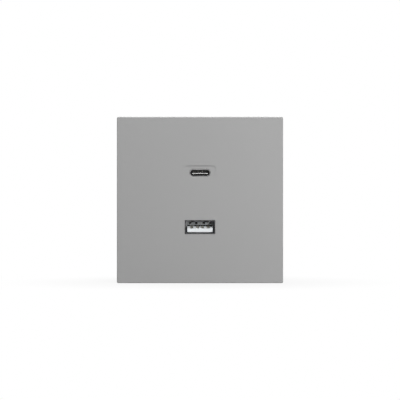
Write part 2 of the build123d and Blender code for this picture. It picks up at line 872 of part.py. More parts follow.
# Board header: plastic strip between the boards, and its pins
with BuildPart() as board_header:
    with BuildSketch(level(power_board_front)):
        with Locations((header_x, header_z)):
            Rectangle(header_pins_in_row * header_pitch, header_width)
            with GridLocations(header_pitch, 0, header_pins_in_row, 1):
                Rectangle(header_pin, header_pin, mode=Mode.SUBTRACT)
    extrude(amount=header_width)
board_header.part.label = "board_header"

with BuildPart() as header_pins:
    with BuildSketch(level(power_board_back - header_pin_overhang)):
        with Locations((header_x, header_z)):
            with GridLocations(header_pitch, 0, header_pins_in_row, 1):
                Rectangle(header_pin, header_pin)
    extrude(amount=port_board_front - power_board_back + 2 * header_pin_overhang)
header_pins.part.label = "header_pins"

# Power board: carries the mains parts and the terminal
with BuildPart() as power_board:
    with BuildSketch(level(power_board_front)):
        housing_outline(board_inset)
        with GridLocations(2 * spacer_at, 0, 2, 1):
            Circle(spacer_peg_r + spacer_peg_gap, mode=Mode.SUBTRACT)
        with Locations((header_x, header_z)):
            with GridLocations(header_pitch, 0, header_pins_in_row, 1):
                Rectangle(
                    header_pin + 2 * header_hole_gap, header_pin + 2 * header_hole_gap, mode=Mode.SUBTRACT
                )
        with Locations((-pole_x, busbar_z), (pole_x, busbar_z)):
            with GridLocations(wire_pitch, 0, 2, 1):
                Rectangle(
                    busbar_pin + 2 * busbar_pin_gap, busbar_sheet + 2 * busbar_pin_gap, mode=Mode.SUBTRACT
                )
    extrude(amount=-board_thick)
power_board.part.label = "power_board"

# Transformer: a ferrite core of three legs, a bobbin on its centre leg, and the taped winding
core_base = power_board_back - transformer_lift
core_end = floor_inside + transformer_floor_gap
core_height = core_base - core_end
window_base = core_base - core_back
window_end = core_end + core_back
window_width = (core_width - 2 * core_leg - core_centre_leg) / 2
window_x = core_centre_leg / 2 + window_width / 2
with BuildPart() as transformer_core:
    with BuildSketch(Plane.XY.offset(transformer_z - core_depth / 2)):
        with Locations((transformer_x, -(core_base + core_end) / 2)):
            Rectangle(core_width, core_height)
            with GridLocations(2 * window_x, 0, 2, 1):
                Rectangle(window_width, core_height - 2 * core_back, mode=Mode.SUBTRACT)
    extrude(amount=core_depth)
    outer_edges = transformer_core.edges().filter_by(Axis.Z).group_by(Axis.X)
    fillet(outer_edges[0] + outer_edges[-1], core_edge_r)
transformer_core.part.label = "transformer_core"

bobbin_width = core_width - 2 * core_leg - 2 * bobbin_gap
tube_width = core_centre_leg + 2 * bobbin_gap + 2 * bobbin_wall
tube_depth = core_depth + 2 * bobbin_gap + 2 * bobbin_wall
with BuildPart() as transformer_bobbin:
    for flange_level in (window_base - bobbin_gap - bobbin_flange, window_end + bobbin_gap):
        with BuildSketch(level(flange_level)):
            with Locations((transformer_x, transformer_z)):
                Rectangle(bobbin_width, bobbin_length)
        extrude(amount=bobbin_flange)
    with BuildSketch(level(window_end + bobbin_gap)):
        with Locations((transformer_x, transformer_z)):
            Rectangle(tube_width, tube_depth)
    extrude(amount=window_base - window_end - 2 * bobbin_gap)
    with BuildSketch(level(window_base - bobbin_gap - bobbin_flange)):
        with Locations((transformer_x, transformer_z)):
            with GridLocations(0, bobbin_length - bobbin_rail, 1, 2):
                Rectangle(bobbin_width, bobbin_rail)
    extrude(amount=power_board_back - window_base + bobbin_gap + bobbin_flange)
    with BuildSketch(level(window_end + bobbin_gap)):
        with Locations((transformer_x, transformer_z)):
            Rectangle(core_centre_leg + 2 * bobbin_gap, core_depth + 2 * bobbin_gap)
    extrude(amount=window_base - window_end - 2 * bobbin_gap, mode=Mode.SUBTRACT)
transformer_bobbin.part.label = "transformer_bobbin"

with BuildPart() as transformer_winding:
    with BuildSketch(level(window_end + bobbin_gap + bobbin_flange)):
        with Locations((transformer_x, transformer_z)):
            RectangleRounded(bobbin_width - 2 * winding_gap, winding_length, winding_corner_r)
            Rectangle(tube_width, tube_depth, mode=Mode.SUBTRACT)
    extrude(amount=window_base - window_end - 2 * bobbin_gap - 2 * bobbin_flange)
transformer_winding.part.label = "transformer_winding"

# Capacitor cans on the power board
input_can = turned_can(input_can_diameter, input_can_height)
with BuildPart() as input_capacitors:
    with Locations(*[(x, -power_board_back, z) for x, z in input_can_places]):
        add(input_can)
input_capacitors.part.label = "input_capacitors"

output_can = turned_can(output_can_diameter, output_can_height)
output_can_z = terminal_top + output_can_gap + output_can_diameter / 2
with BuildPart() as output_capacitor:
    with Locations((output_can_x, -power_board_back, output_can_z)):
        add(output_can)
output_capacitor.part.label = "output_capacitor"

# Suppression capacitor: film capacitor in a box
with BuildPart() as suppression_capacitor:
    with BuildSketch(level(power_board_back)):
        with Locations(film_place):
            Rectangle(film_width, film_depth)
    extrude(amount=-film_height)
    fillet(suppression_capacitor.edges().filter_by(Axis.Y), film_edge_r)
suppression_capacitor.part.label = "suppression_capacitor"

# Line inductor: wound drum
with BuildPart() as drum:
    with BuildSketch(Plane.XY):
        with BuildLine():
            Polyline(
                (0, 0),
                (drum_diameter / 2, 0),
                (drum_diameter / 2, drum_flange),
                (drum_waist / 2, drum_flange),
                (drum_waist / 2, drum_height - drum_flange),
                (drum_diameter / 2, drum_height - drum_flange),
                (drum_diameter / 2, drum_height),
                (0, drum_height),
                close=True,
            )
        make_face()
    revolve(axis=Axis.Y)
with BuildPart() as line_inductor:
    with Locations((drum_place[0], -power_board_back, drum_place[1])):
        add(drum.part)
line_inductor.part.label = "line_inductor"

# Fuse: tube with two end caps, lying on the power board
fuse_cap_r = fuse_diameter / 2 + fuse_cap_step
with BuildPart() as fuse:
    fuse_z = terminal_top + fuse_gap + fuse_cap_r
    fuse_start = (fuse_x - fuse_length / 2, fuse_cap_r - power_board_back, fuse_z)
    fuse_plane = Plane(origin=fuse_start, z_dir=(1, 0, 0))
    with BuildSketch(fuse_plane):
        Circle(fuse_diameter / 2)
    extrude(amount=fuse_length)
    for start in (0, fuse_length - fuse_cap):
        with BuildSketch(fuse_plane.offset(start)):
            Circle(fuse_cap_r)
        extrude(amount=fuse_cap)
fuse.part.label = "fuse"

# Coated discs: the varistor and the safety capacitor
varistor_disc = coated_disc(varistor_diameter, varistor_thick)
with BuildPart() as varistor:
    with Locations((varistor_x, -power_board_back, terminal_top + varistor_gap + varistor_diameter / 2)):
        add(varistor_disc)
varistor.part.label = "varistor"

safety_disc = coated_disc(disc_diameter, disc_thick)
with BuildPart() as safety_capacitor:
    with Locations((disc_place[0], -power_board_back, disc_place[1])):
        add(safety_disc)
safety_capacitor.part.label = "safety_capacitor"

# Chips on the front of the power board
bridge_chip = leaded_chip(bridge_size, bridge_rise, 2)
with BuildPart() as bridge_rectifier:
    with Locations((bridge_place[0], -power_board_front, bridge_place[1])):
        add(bridge_chip)
bridge_rectifier.part.label = "bridge_rectifier"

coupler_chip = leaded_chip(coupler_size, coupler_rise, 2)
with BuildPart() as optocoupler:
    with Locations((coupler_place[0], -power_board_front, coupler_place[1])):
        add(coupler_chip)
optocoupler.part.label = "optocoupler"

switch_chip = leaded_chip(switch_size, switch_rise, 4)
with BuildPart() as switch_controller:
    with Locations((switch_place[0], -power_board_front, switch_place[1])):
        add(switch_chip)
switch_controller.part.label = "switch_controller"

# Terminal block: two open chambers on the power board, one for each pole
with BuildPart() as terminal_block:
    with BuildSketch(level(cap_front)):
        with Locations((0, terminal_z)):
            Rectangle(terminal_width, terminal_height)
    extrude(amount=block_depth)
    with BuildSketch(level(cap_front)):
        with Locations((-pole_x, terminal_z), (pole_x, terminal_z)):
            Rectangle(cavity_width, terminal_height - 2 * terminal_wall)
    extrude(amount=block_depth - terminal_wall, mode=Mode.SUBTRACT)
    with BuildSketch(level(cap_front)):
        with Locations((-pole_x, busbar_z), (pole_x, busbar_z)):
            with GridLocations(wire_pitch, 0, 2, 1):
                Rectangle(busbar_pin + 2 * busbar_pin_gap, busbar_sheet)
    extrude(amount=block_depth, mode=Mode.SUBTRACT)
terminal_block.part.label = "terminal_block"

# Terminal cap: closes the chambers, with two wire funnels and a button window for each pole
with BuildPart() as terminal_cap:
    with BuildSketch(level(cap_back)):
        with Locations((0, terminal_z)):
            Rectangle(terminal_width, terminal_height)
    extrude(amount=cap_depth)
    chamfer(terminal_cap.faces().sort_by(Axis.Y)[-1].edges(), cap_edge)
    with BuildSketch(level(cap_back)):
        with Locations((-pole_x, wire_z), (pole_x, wire_z)):
            with GridLocations(wire_pitch, 0, 2, 1):
                Circle(wire_r)
        with Locations((-pole_x, button_z), (pole_x, button_z)):
            Rectangle(button_width + 2 * button_gap, button_height + 2 * button_gap)
    extrude(amount=cap_depth, mode=Mode.SUBTRACT)
    mouths = terminal_cap.edges().filter_by(GeomType.CIRCLE).group_by(Axis.Y)[-1]
    chamfer(mouths.filter_by(lambda edge: abs(edge.radius - wire_r) < cap_gap), wire_mouth_chamfer)
terminal_cap.part.label = "terminal_cap"

# One pole of the terminal: busbar with two pins, clamp spring with two legs, and release button
pole_parts = {}
for pole, x in poles.items():
    with BuildPart() as busbar:
        with BuildSketch(Plane.XY.offset(cavity_low)):
            bar_start = cap_front + busbar_end_gap
            bar_end = power_board_back - terminal_wall - busbar_end_gap
            with Locations((x, -(bar_start + bar_end) / 2)):
                Rectangle(cavity_width - 2 * busbar_side_gap, bar_end - bar_start)
            pin_end = power_board_front + busbar_pin_overhang
            with Locations((x, -(bar_end + pin_end) / 2)):
                with GridLocations(wire_pitch, 0, 2, 1):
                    Rectangle(busbar_pin, pin_end - bar_end)
        extrude(amount=busbar_sheet)
    pole_parts["busbar_" + pole] = busbar

    spring_top = cavity_top - spring_sheet / 2
    bend_at = cap_front + spring_bend_depth
    bend_z = spring_top - spring_bend_r
    tip_at = cap_front + spring_tip_depth
    tip_z = cavity_low + busbar_sheet + spring_tip_gap
    tip_lean = atan2(tip_z - bend_z, tip_at - bend_at)
    tip_reach = hypot(tip_at - bend_at, tip_z - bend_z)
    bend_turn = 270 + degrees(tip_lean - acos(spring_bend_r / tip_reach))
    with BuildPart() as clamp_spring:
        with BuildSketch(side_plane((0, 0, 1), x=x)):
            with BuildLine():
                fixed_leg = Line((cap_front + spring_back_depth, spring_top), (bend_at, spring_top))
                bend = JernArc(fixed_leg @ 1, fixed_leg % 1, spring_bend_r, bend_turn)
                Line(bend @ 1, (tip_at, tip_z))
                offset(amount=spring_sheet / 2, side=Side.BOTH)
            make_face()
        extrude(amount=cavity_width / 2 - spring_side_gap, both=True)
        with BuildSketch(side_plane((0, 0, 1), x=x)):
            span(cap_front + spring_bend_depth, power_board_back, tip_z - spring_sheet, bend_z)
        extrude(amount=spring_leg_gap / 2, both=True, mode=Mode.SUBTRACT)
    pole_parts["clamp_spring_" + pole] = clamp_spring

    with BuildPart() as release_button:
        with BuildSketch(level(cap_back - button_stand)):
            with Locations((x, button_z)):
                Rectangle(button_width, button_height)
        extrude(amount=button_stand + cap_depth + button_reach)
        chamfer(release_button.faces().sort_by(Axis.Y)[-1].edges(), button_edge)
        with BuildSketch(level(cap_front + button_shoulder_gap)):
            with Locations((x, button_z)):
                Rectangle(button_width + 2 * button_shoulder_lip, button_height)
        extrude(amount=button_shoulder)
        with BuildSketch(level(cap_back - button_stand)):
            with Locations((x, button_z)):
                Rectangle(button_slot_length, button_slot_width)
        extrude(amount=button_slot_depth, mode=Mode.SUBTRACT)
    pole_parts["release_button_" + pole] = release_button

for name, built in pole_parts.items():
    built.part.label = name

os.makedirs("parts", exist_ok=True)
export_step(cover_plate.part, "parts/cover_plate.step")
export_step(usb_a_shell.part, "parts/usb_a_shell.step")
export_step(usb_a_insulator.part, "parts/usb_a_insulator.step")
export_step(usb_a_contacts.part, "parts/usb_a_contacts.step")
export_step(usb_c_shell.part, "parts/usb_c_shell.step")
export_step(usb_c_tongue.part, "parts/usb_c_tongue.step")
export_step(usb_c_contacts.part, "parts/usb_c_contacts.step")
export_step(support_ring.part, "parts/support_ring.step")
export_step(ring_screws.part, "parts/ring_screws.step")
export_step(front_shell.part, "parts/front_shell.step")
export_step(base_shell.part, "parts/base_shell.step")
export_step(port_board.part, "parts/port_board.step")
export_step(board_screws.part, "parts/board_screws.step")
export_step(charge_controller.part, "parts/charge_controller.step")
export_step(port_inductor.part, "parts/port_inductor.step")
export_step(board_spacers.part, "parts/board_spacers.step")
export_step(board_header.part, "parts/board_header.step")
export_step(header_pins.part, "parts/header_pins.step")
export_step(power_board.part, "parts/power_board.step")
export_step(transformer_core.part, "parts/transformer_core.step")
export_step(transformer_bobbin.part, "parts/transformer_bobbin.step")
export_step(transformer_winding.part, "parts/transformer_winding.step")
export_step(input_capacitors.part, "parts/input_capacitors.step")
export_step(output_capacitor.part, "parts/output_capacitor.step")
export_step(suppression_capacitor.part, "parts/suppression_capacitor.step")
export_step(line_inductor.part, "parts/line_inductor.step")
export_step(fuse.part, "parts/fuse.step")
export_step(varistor.part, "parts/varistor.step")
export_step(safety_capacitor.part, "parts/safety_capacitor.step")
export_step(bridge_rectifier.part, "parts/bridge_rectifier.step")
export_step(optocoupler.part, "parts/optocoupler.step")
export_step(switch_controller.part, "parts/switch_controller.step")
export_step(terminal_block.part, "parts/terminal_block.step")
export_step(terminal_cap.part, "parts/terminal_cap.step")
for name, built in pole_parts.items():
    export_step(built.part, f"parts/{name}.step")
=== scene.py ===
"""Flush wall socket with two charging ports: finishes, screws, clamp springs, pole letters and stage.

The packed solids keep their shapes and take their finishes here. Screws, clamp springs and letters are
new surfaces, placed from the boxes of the solids that they stand for or sit on. Lengths are metres, +Z is
up, and the wall is y = 0 with the room on the -Y side.
"""

import json
import math

import bpy
import numpy as np
from mathutils import Matrix, Vector


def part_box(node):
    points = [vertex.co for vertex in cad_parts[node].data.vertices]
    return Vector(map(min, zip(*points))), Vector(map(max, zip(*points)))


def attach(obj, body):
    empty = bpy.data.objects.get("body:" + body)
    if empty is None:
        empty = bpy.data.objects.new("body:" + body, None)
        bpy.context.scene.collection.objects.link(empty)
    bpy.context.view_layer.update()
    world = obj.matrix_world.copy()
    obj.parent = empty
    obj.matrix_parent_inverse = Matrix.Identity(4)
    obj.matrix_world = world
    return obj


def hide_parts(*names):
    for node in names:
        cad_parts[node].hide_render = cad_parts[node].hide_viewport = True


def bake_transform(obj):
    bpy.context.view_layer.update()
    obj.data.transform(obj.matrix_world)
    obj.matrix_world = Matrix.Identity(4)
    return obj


bl_info = {
    "name": "Flush Wall Socket",
    "version": (1, 0, 0),
    "blender": (4, 5, 0),
    "location": "3D View > Sidebar > Socket",
    "description": "Finishes, screws, springs, letters and stage of a wall socket with two charging ports",
    "category": "Object",
}

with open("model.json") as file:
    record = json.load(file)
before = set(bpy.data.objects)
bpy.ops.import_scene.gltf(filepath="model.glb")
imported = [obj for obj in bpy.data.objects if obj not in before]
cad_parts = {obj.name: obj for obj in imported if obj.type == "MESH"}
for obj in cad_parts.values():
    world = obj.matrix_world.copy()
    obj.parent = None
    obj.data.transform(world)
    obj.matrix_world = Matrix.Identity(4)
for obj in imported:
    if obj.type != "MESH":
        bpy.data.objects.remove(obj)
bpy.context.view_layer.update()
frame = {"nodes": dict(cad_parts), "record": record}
slot_colours = {entry["slot"]: entry["base_color"] for entry in frame["record"]["materials"]}

MM = 0.001
POLES = {"live": "L", "neutral": "N"}


# Properties


def colour_of(slot, label, share=1.0):
    """A colour property: the record's colour of that material slot, times one share or one per channel."""
    return bpy.props.FloatVectorProperty(
        name=label,
        description="Linear colour of the " + label.lower(),
        default=np.multiply(share, slot_colours[slot]).tolist(),
        size=3,
        min=0.0,
        max=1.0,
        subtype="COLOR",
    )


def length_of(default, label, description):
    """A length property in metres."""
    return bpy.props.FloatProperty(
        name=label, description=description, default=default, min=0.0, unit="LENGTH", precision=5
    )


def share_of(default, label, description):
    """A plain number from 0 to 1."""
    return bpy.props.FloatProperty(
        name=label, description=description, default=default, min=0.0, max=1.0, subtype="FACTOR"
    )


def power_of(default, label):
    """A lamp's power in watts."""
    return bpy.props.FloatProperty(
        name=label, description="Power of the " + label.lower(), default=default, min=0.0, unit="POWER"
    )


def place_of(default, label):
    """A lamp's place, counted from the middle of the cover plate's face."""
    return bpy.props.FloatVectorProperty(
        name=label,
        description=label + ", from the middle of the cover plate's face",
        default=default,
        size=3,
        subtype="TRANSLATION",
        unit="LENGTH",
    )


class CoverSettings(bpy.types.PropertyGroup):
    """Cover plate."""

    colour: colour_of("cover_plastic", "Cover plate")
    grain: length_of(0.16 * MM, "Grain", "Width of one grain of the satin lacquer")
    peel: length_of(1.9 * MM, "Orange peel", "Width of one wave of the sprayed lacquer")
    roughness: share_of(0.43, "Roughness", "Mean roughness of the lacquer")


class PortSettings(bpy.types.PropertyGroup):
    """Charging ports."""

    wide_shell: colour_of("wide_port_nickel", "Wide port's shell")
    # Narrow port's shell: the record's steel darkened to 0.65 as painted shade, so the mouth's rim and
    # inner walls read dark
    narrow_shell_painted_shade: colour_of("narrow_port_steel", "Narrow port's shell", 0.65)
    wide_tongue: colour_of("tongue_white", "Wide port's tongue", (1.03, 1.07, 1.13))
    # Dark moulding of the narrow tongue, 0.6 of the record's black; on the upper half of its front end it
    # also stands as painted shade
    narrow_tongue: colour_of("tongue_black", "Narrow port's tongue", 0.6)
    # Colour of the plated band on the narrow tongue's front, lighter than the shell's steel: partly the
    # plating's own colour, partly painted light
    tip: colour_of("narrow_port_steel", "Narrow tongue's plated tip", 1.7)
    tip_length: length_of(0.5 * MM, "Plated tip", "Length of the narrow tongue's plated tip")
    # Painted glints: the plated band is painted lighter beyond this half width from its middle
    tip_unglinted_middle: length_of(2.2 * MM, "Worn tip", "Half width of the duller middle of the plated tip")
    # Painted shade: the plated band stops this far below the tongue's middle, the dark upper half above it
    # is painted shade and the band below is the painted lit part
    painted_shade_drop: length_of(0.12 * MM, "Tip drop", "How far below the tongue's middle the plated tip ends")
    # Wide port's contacts: the record's gold lightened to 1.3 as painted light, so they read pale inside
    # the dark port
    wide_contact: colour_of("contact_gold", "Wide port's contacts", 1.3)
    # Narrow port's contacts: the record's gold darkened to 0.3 as painted shade, so they sink into the
    # slot's shade
    narrow_contact: colour_of("contact_gold", "Narrow port's contacts", 0.3)
    grain: length_of(0.2 * MM, "Grain", "Width of one grain of the moulded tongues")


class HousingSettings(bpy.types.PropertyGroup):
    """Mounting ring and housing shells."""

    ring: colour_of("ring_steel", "Mounting ring")
    front_shell: colour_of("front_shell_plastic", "Front shell")
    base_shell: colour_of("base_shell_plastic", "Base shell")
    crystal: length_of(1.4 * MM, "Zinc crystal", "Width of one crystal of the ring's zinc")
    grain: length_of(0.3 * MM, "Grain", "Width of one grain of the spark-eroded mould face")


class ScrewSettings(bpy.types.PropertyGroup):
    """Screws of the ring and of the port board."""

    colour: colour_of("screw_steel", "Screws")
    ring_head_radius: length_of(2.1 * MM, "Ring screw's head radius", "Radius of a ring screw's head")
    ring_head: length_of(1.4 * MM, "Ring screw's head", "Height of a ring screw's head")
    ring_shank_radius: length_of(1.0 * MM, "Ring screw's shank radius", "Radius of its thread")
    board_head_radius: length_of(1.9 * MM, "Board screw's head radius", "Radius of a board screw's head")
    board_head: length_of(1.2 * MM, "Board screw's head", "Height of a board screw's head")
    board_shank_radius: length_of(0.8 * MM, "Board screw's shank radius", "Radius of its thread")
    pitch: length_of(0.7 * MM, "Thread pitch", "Distance between two turns of the thread")
    thread_depth: length_of(0.22 * MM, "Thread depth", "Depth of the thread")
    recess_depth: length_of(0.8 * MM, "Recess depth", "Depth of the cross recess in its middle")
    recess_reach: share_of(0.62, "Recess reach", "Reach of its arms as a share of the head's radius")
    recess_width: share_of(0.34, "Recess width", "Width of its arms as a share of the head's radius")


class BoardSettings(bpy.types.PropertyGroup):
    """Boards with their spacers and header."""

    laminate: colour_of("board_laminate", "Boards")
    spacer: colour_of("spacer_nylon", "Board spacers")
    header: colour_of("header_plastic", "Board header")
    pin: colour_of("pin_tin", "Header pins")
    land: length_of(3.2 * MM, "Copper land", "Width of one land of copper under the solder mask")


class ComponentSettings(bpy.types.PropertyGroup):
    """Parts on the boards."""

    chip: colour_of("chip_plastic", "Chips")
    choke: colour_of("choke_composite", "Port inductor")
    core: colour_of("core_ferrite", "Transformer core")
    bobbin: colour_of("bobbin_plastic", "Transformer bobbin")
    tape: colour_of("winding_tape", "Transformer winding")
    sleeve: colour_of("can_sleeve", "Capacitor sleeves")
    film: colour_of("film_case", "Suppression capacitor")
    drum: colour_of("drum_sleeve", "Line inductor")
    fuse: colour_of("fuse_ceramic", "Fuse")
    varistor: colour_of("varistor_coat", "Varistor")
    disc: colour_of("disc_coat", "Safety capacitor")
    fuse_cap: length_of(1.9 * MM, "Fuse cap", "Length of the fuse's tinned end caps")
    stripe: length_of(0.6 * MM, "Sleeve stripe", "How far down a sleeve's pale stripe reaches")
    bare_end: length_of(0.25 * MM, "Bare end", "Height of a capacitor's bare metal end")


class TerminalSettings(bpy.types.PropertyGroup):
    """Mains terminal."""

    body: colour_of("terminal_plastic", "Terminal")
    live: colour_of("button_live_plastic", "Live button")
    neutral: colour_of("button_neutral_plastic", "Neutral button")
    busbar: colour_of("busbar_copper", "Busbars")
    grain: length_of(0.25 * MM, "Grain", "Width of one grain of the moulded terminal")


class SpringSettings(bpy.types.PropertyGroup):
    """Clamp springs."""

    colour: colour_of("spring_steel", "Clamp springs")
    sheet: length_of(0.4 * MM, "Sheet", "Thickness of the spring strip")
    bend_radius: length_of(1.3 * MM, "Bend radius", "Radius of the strip's middle line in its bend")
    fork: length_of(1.0 * MM, "Fork", "Gap between a spring's two free legs")
    setback: length_of(0.8 * MM, "Setback", "How far a free leg's tip stays behind the fixed leg's end")


class MarkSettings(bpy.types.PropertyGroup):
    """Pole letters."""

    size: length_of(2.8 * MM, "Letter size", "Height of the pole letters")
    rise: length_of(0.25 * MM, "Letter rise", "How far the pole letters stand out")


class StageSettings(bpy.types.PropertyGroup):
    """Camera, lamps and floor."""

    frame_width: length_of(0.1696, "Frame width", "Width of the picture at the cover plate's face")
    distance: length_of(0.9, "Distance", "Distance from the camera to the cover plate's face")
    ambient: share_of(0.08, "Ambient light", "Strength of the light from all round")
    key_place: place_of((0.08, -0.25, 0.7), "Key lamp's place")
    key_side: length_of(0.04, "Key lamp's side", "Side of the key lamp")
    key_power: power_of(3.6, "Key lamp")
    front_place: place_of((0.16, -0.8, 0.03), "Front lamp's place")
    front_side: length_of(0.12, "Front lamp's side", "Side of the front lamp")
    front_power: power_of(0.88, "Front lamp")
    upper_place: place_of((0.1, -0.55, 0.55), "Upper lamp's place")
    upper_side: length_of(0.12, "Upper lamp's side", "Side of the upper lamp")
    upper_power: power_of(2.2, "Upper lamp")
    side_place: place_of((0.16, -0.12, 0.0), "Side lamp's place")
    side_side: length_of(0.08, "Side lamp's side", "Side of the side lamp")
    side_power: power_of(0.066, "Side lamp")
    back_place: place_of((-0.5, 1.0, 0.7), "Back lamp's place")
    back_side: length_of(0.7, "Back lamp's side", "Side of the back lamp")
    back_power: power_of(6.0, "Back lamp")
    floor_side: length_of(4.0, "Floor", "Side of the floor")
    floor_grey: share_of(0.3, "Floor grey", "Grey of the floor's paper in the light of the lamps")
    floor_white: share_of(0.9, "Floor white", "How white the floor shows beside the object")
    shadow_reach: length_of(0.1, "Shadow reach", "Distance at which the floor has gone wholly white")


# Shader sums


class Shade:
    """A socket in a node tree that Python's operators work on: each adds one Math node to the tree."""

    def __init__(self, tree, socket=None):
        self.tree = tree
        self.socket = socket

    def node(self, kind, settings=None, sockets=None, result=0):
        """Adds a node, its settings first and then its sockets' values or links, and gives one output."""
        made = self.tree.nodes.new("ShaderNode" + kind)
        for name, setting in (settings or {}).items():
            setattr(made, name, setting)
        for name, given in (sockets or {}).items():
            if isinstance(given, Shade):
                given.feed(made.inputs[name])
            else:
                made.inputs[name].default_value = given
        return Shade(self.tree, made.outputs[result])

    def other(self, result):
        """Another output of the same node."""
        return Shade(self.tree, self.socket.node.outputs[result])

    def feed(self, socket):
        """Links this shade to an input."""
        self.tree.links.new(self.socket, socket)

    def math(self, operation, first, second=0.0):
        """Adds a Math node on one or two values or shades."""
        return self.node("Math", {"operation": operation}, {0: first, 1: second})

    def __add__(self, more):
        return self.math("ADD", self, more)

    __radd__ = __add__

    def __sub__(self, less):
        return self.math("SUBTRACT", self, less)

    def __rsub__(self, whole):
        return self.math("SUBTRACT", whole, self)

    def __mul__(self, factor):
        return self.math("MULTIPLY", self, factor)

    __rmul__ = __mul__

    def __gt__(self, limit):
        return self.math("GREATER_THAN", self, limit)

    def __abs__(self):
        return self.math("ABSOLUTE", self)


def new_finish(name, constants):
    """A material of one Principled shader, its fixed sockets set: gives it, the shader and a place."""
    material = bpy.data.materials.new(name)
    material.use_nodes = True
    shader = material.node_tree.nodes["Principled BSDF"]
    for socket, value in constants.items():
        shader.inputs[socket].default_value = value
    place = Shade(material.node_tree).node("TexCoord", result="Object")
    return material, shader, place


def feed(shader, shades):
    """Links each shade to the shader's socket of that name."""
    for socket, shade in shades.items():
        shade.feed(shader.inputs[socket])


def noise(place, width, detail=2.0, stretch=(1.0, 1.0, 1.0)):
    """Cloudy noise whose lumps are about width across, drawn out along each axis by stretch."""
    scale = tuple(1.0 / part for part in stretch)
    mapped = place.node("Mapping", {}, {"Vector": place, "Scale": scale})
    return place.node("TexNoise", {}, {"Vector": mapped, "Scale": 1.0 / width, "Detail": detail})


def cells(place, width, feature="F1", result="Distance"):
    """Cells about width across: the distance to a cell's middle or edge, or each cell's own colour."""
    return place.node("TexVoronoi", {"feature": feature}, {"Vector": place, "Scale": 1.0 / width}, result)


def between(mask, first, second):
    """The first colour where the mask is 0 and the second where it is 1, mixed in between."""
    ends = [end if isinstance(end, Shade) else (*end, 1.0) for end in (first, second)]
    return mask.node("Mix", {"data_type": "RGBA"}, {0: mask, 6: ends[0], 7: ends[1]}, 2)


def mottled(mask, colour, swing):
    """A colour that goes from darker to lighter, by swing either way, as the mask goes from 0 to 1."""
    dark = tuple(part * (1.0 - swing) for part in colour)
    light = tuple(min(1.0, part * (1.0 + swing)) for part in colour)
    return between(mask, dark, light)


def axes(place):
    """The three coordinates of a place, each a shade of its own."""
    split = place.node("SeparateXYZ", {}, {"Vector": place})
    return [split.other(name) for name in "XYZ"]


def relief(height, depth, strength=0.6):
    """A bumped normal from a height between 0 and 1 that stands for depth."""
    return height.node("Bump", {}, {"Height": height, "Distance": depth, "Strength": strength})


# Finishes


STRIPE_GREY = (0.55, 0.56, 0.58)
BARE_ALUMINIUM = (0.7, 0.7, 0.71)
CAP_TIN = (0.66, 0.66, 0.64)
BLUE_CAST = (0.86, 0.94, 1.1)
# How much lighter the two ends of the narrow tongue's plated band are painted than its middle: painted
# glints
PAINTED_GLINT_ENDS = 1.4
LAND_GAP = 0.06


def satin_lacquer(name, colour, grain, peel, roughness):
    """Sprayed satin lacquer: fine grain over a soft orange peel, faint clouds in the colour."""
    material, shader, place = new_finish(name, {"Specular IOR Level": 0.4})
    fine = noise(place, grain, 3.0)
    waves = noise(place, peel, 1.0)
    clouds = noise(place, 30 * MM)
    feed(
        shader,
        {
            "Base Color": mottled(0.7 * clouds + 0.3 * fine, colour, 0.025),
            "Roughness": roughness - 0.06 + 0.12 * fine,
            "Normal": relief(0.6 * fine + 0.4 * waves, 0.006 * MM, 0.5),
        },
    )
    return material


def moulding(name, colour, grain, depth=0.012 * MM, roughness=0.5, flow=20 * MM):
    """Moulded plastic: a spark-eroded grain, clouds along the melt's flow and rubbed, smoother patches."""
    material, shader, place = new_finish(name, {"Specular IOR Level": 0.45})
    pits = cells(place, grain)
    fine = noise(place, grain / 2)
    clouds = noise(place, flow, 3.0, (1.0, 2.5, 1.0))
    feed(
        shader,
        {
            "Base Color": mottled(clouds, colour, 0.13),
            "Roughness": roughness - 0.1 + 0.12 * clouds + 0.12 * fine,
            "Normal": relief(0.7 * pits + 0.3 * fine, depth),
        },
    )
    return material


def rolled_metal(name, colour, roughness=0.28, along=(1.0, 10.0, 1.0), line=0.05 * MM):
    """Rolled and plated sheet: fine lines along the rolling direction, faint stains in the plating."""
    material, shader, place = new_finish(name, {"Metallic": 1.0})
    lines = noise(place, line, 2.0, along)
    stains = noise(place, 2.5 * MM, 3.0)
    feed(
        shader,
        {
            "Base Color": mottled(stains, colour, 0.13),
            "Roughness": roughness - 0.08 + 0.1 * lines + 0.1 * stains,
            "Normal": relief(lines, 0.002 * MM),
        },
    )
    return material


def zinc_sheet(name, colour, width):
    """Passivated zinc on steel: flat crystals of two greys, a blue cast in places, fine rolling lines."""
    material, shader, place = new_finish(name, {"Metallic": 1.0})
    crystal = cells(place, width, "F1", "Color")
    level = crystal.node("RGBToBW", {}, {"Color": crystal})
    lines = noise(place, 0.06 * MM, 2.0, (16.0, 1.0, 1.0))
    cast = noise(place, 9 * MM)
    bluish = tuple(min(1.0, tint * part) for tint, part in zip(BLUE_CAST, colour))
    feed(
        shader,
        {
            "Base Color": between(0.6 * cast, bluish, mottled(level, colour, 0.13)),
            "Roughness": 0.26 + 0.12 * level + 0.1 * lines,
            "Normal": relief(0.6 * lines + 0.4 * level, 0.004 * MM, 0.5),
        },
    )
    return material


def pressed_powder(name, colour, speck=0.12 * MM):
    """Sintered or pressed powder: dark matt body with lighter specks and small pits."""
    material, shader, place = new_finish(name, {"Specular IOR Level": 0.35})
    specks = noise(place, speck, 3.0)
    pits = cells(place, 4 * speck)
    feed(
        shader,
        {
            "Base Color": mottled(specks, colour, 0.45),
            "Roughness": 0.55 + 0.25 * specks,
            "Normal": relief(pits, 0.02 * MM),
        },
    )
    return material


def dipped_coat(name, colour):
    """Epoxy from a dip: glossy, a little thicker in places, with a faint orange peel."""
    material, shader, place = new_finish(name, {"Coat Weight": 0.5, "Coat Roughness": 0.08})
    lumps = noise(place, 1.6 * MM)
    peel = noise(place, 0.25 * MM, 1.0)
    feed(
        shader,
        {
            "Base Color": mottled(lumps, colour, 0.25),
            "Roughness": 0.2 + 0.15 * peel,
            "Normal": relief(0.8 * lumps + 0.2 * peel, 0.06 * MM, 0.5),
        },
    )
    return material


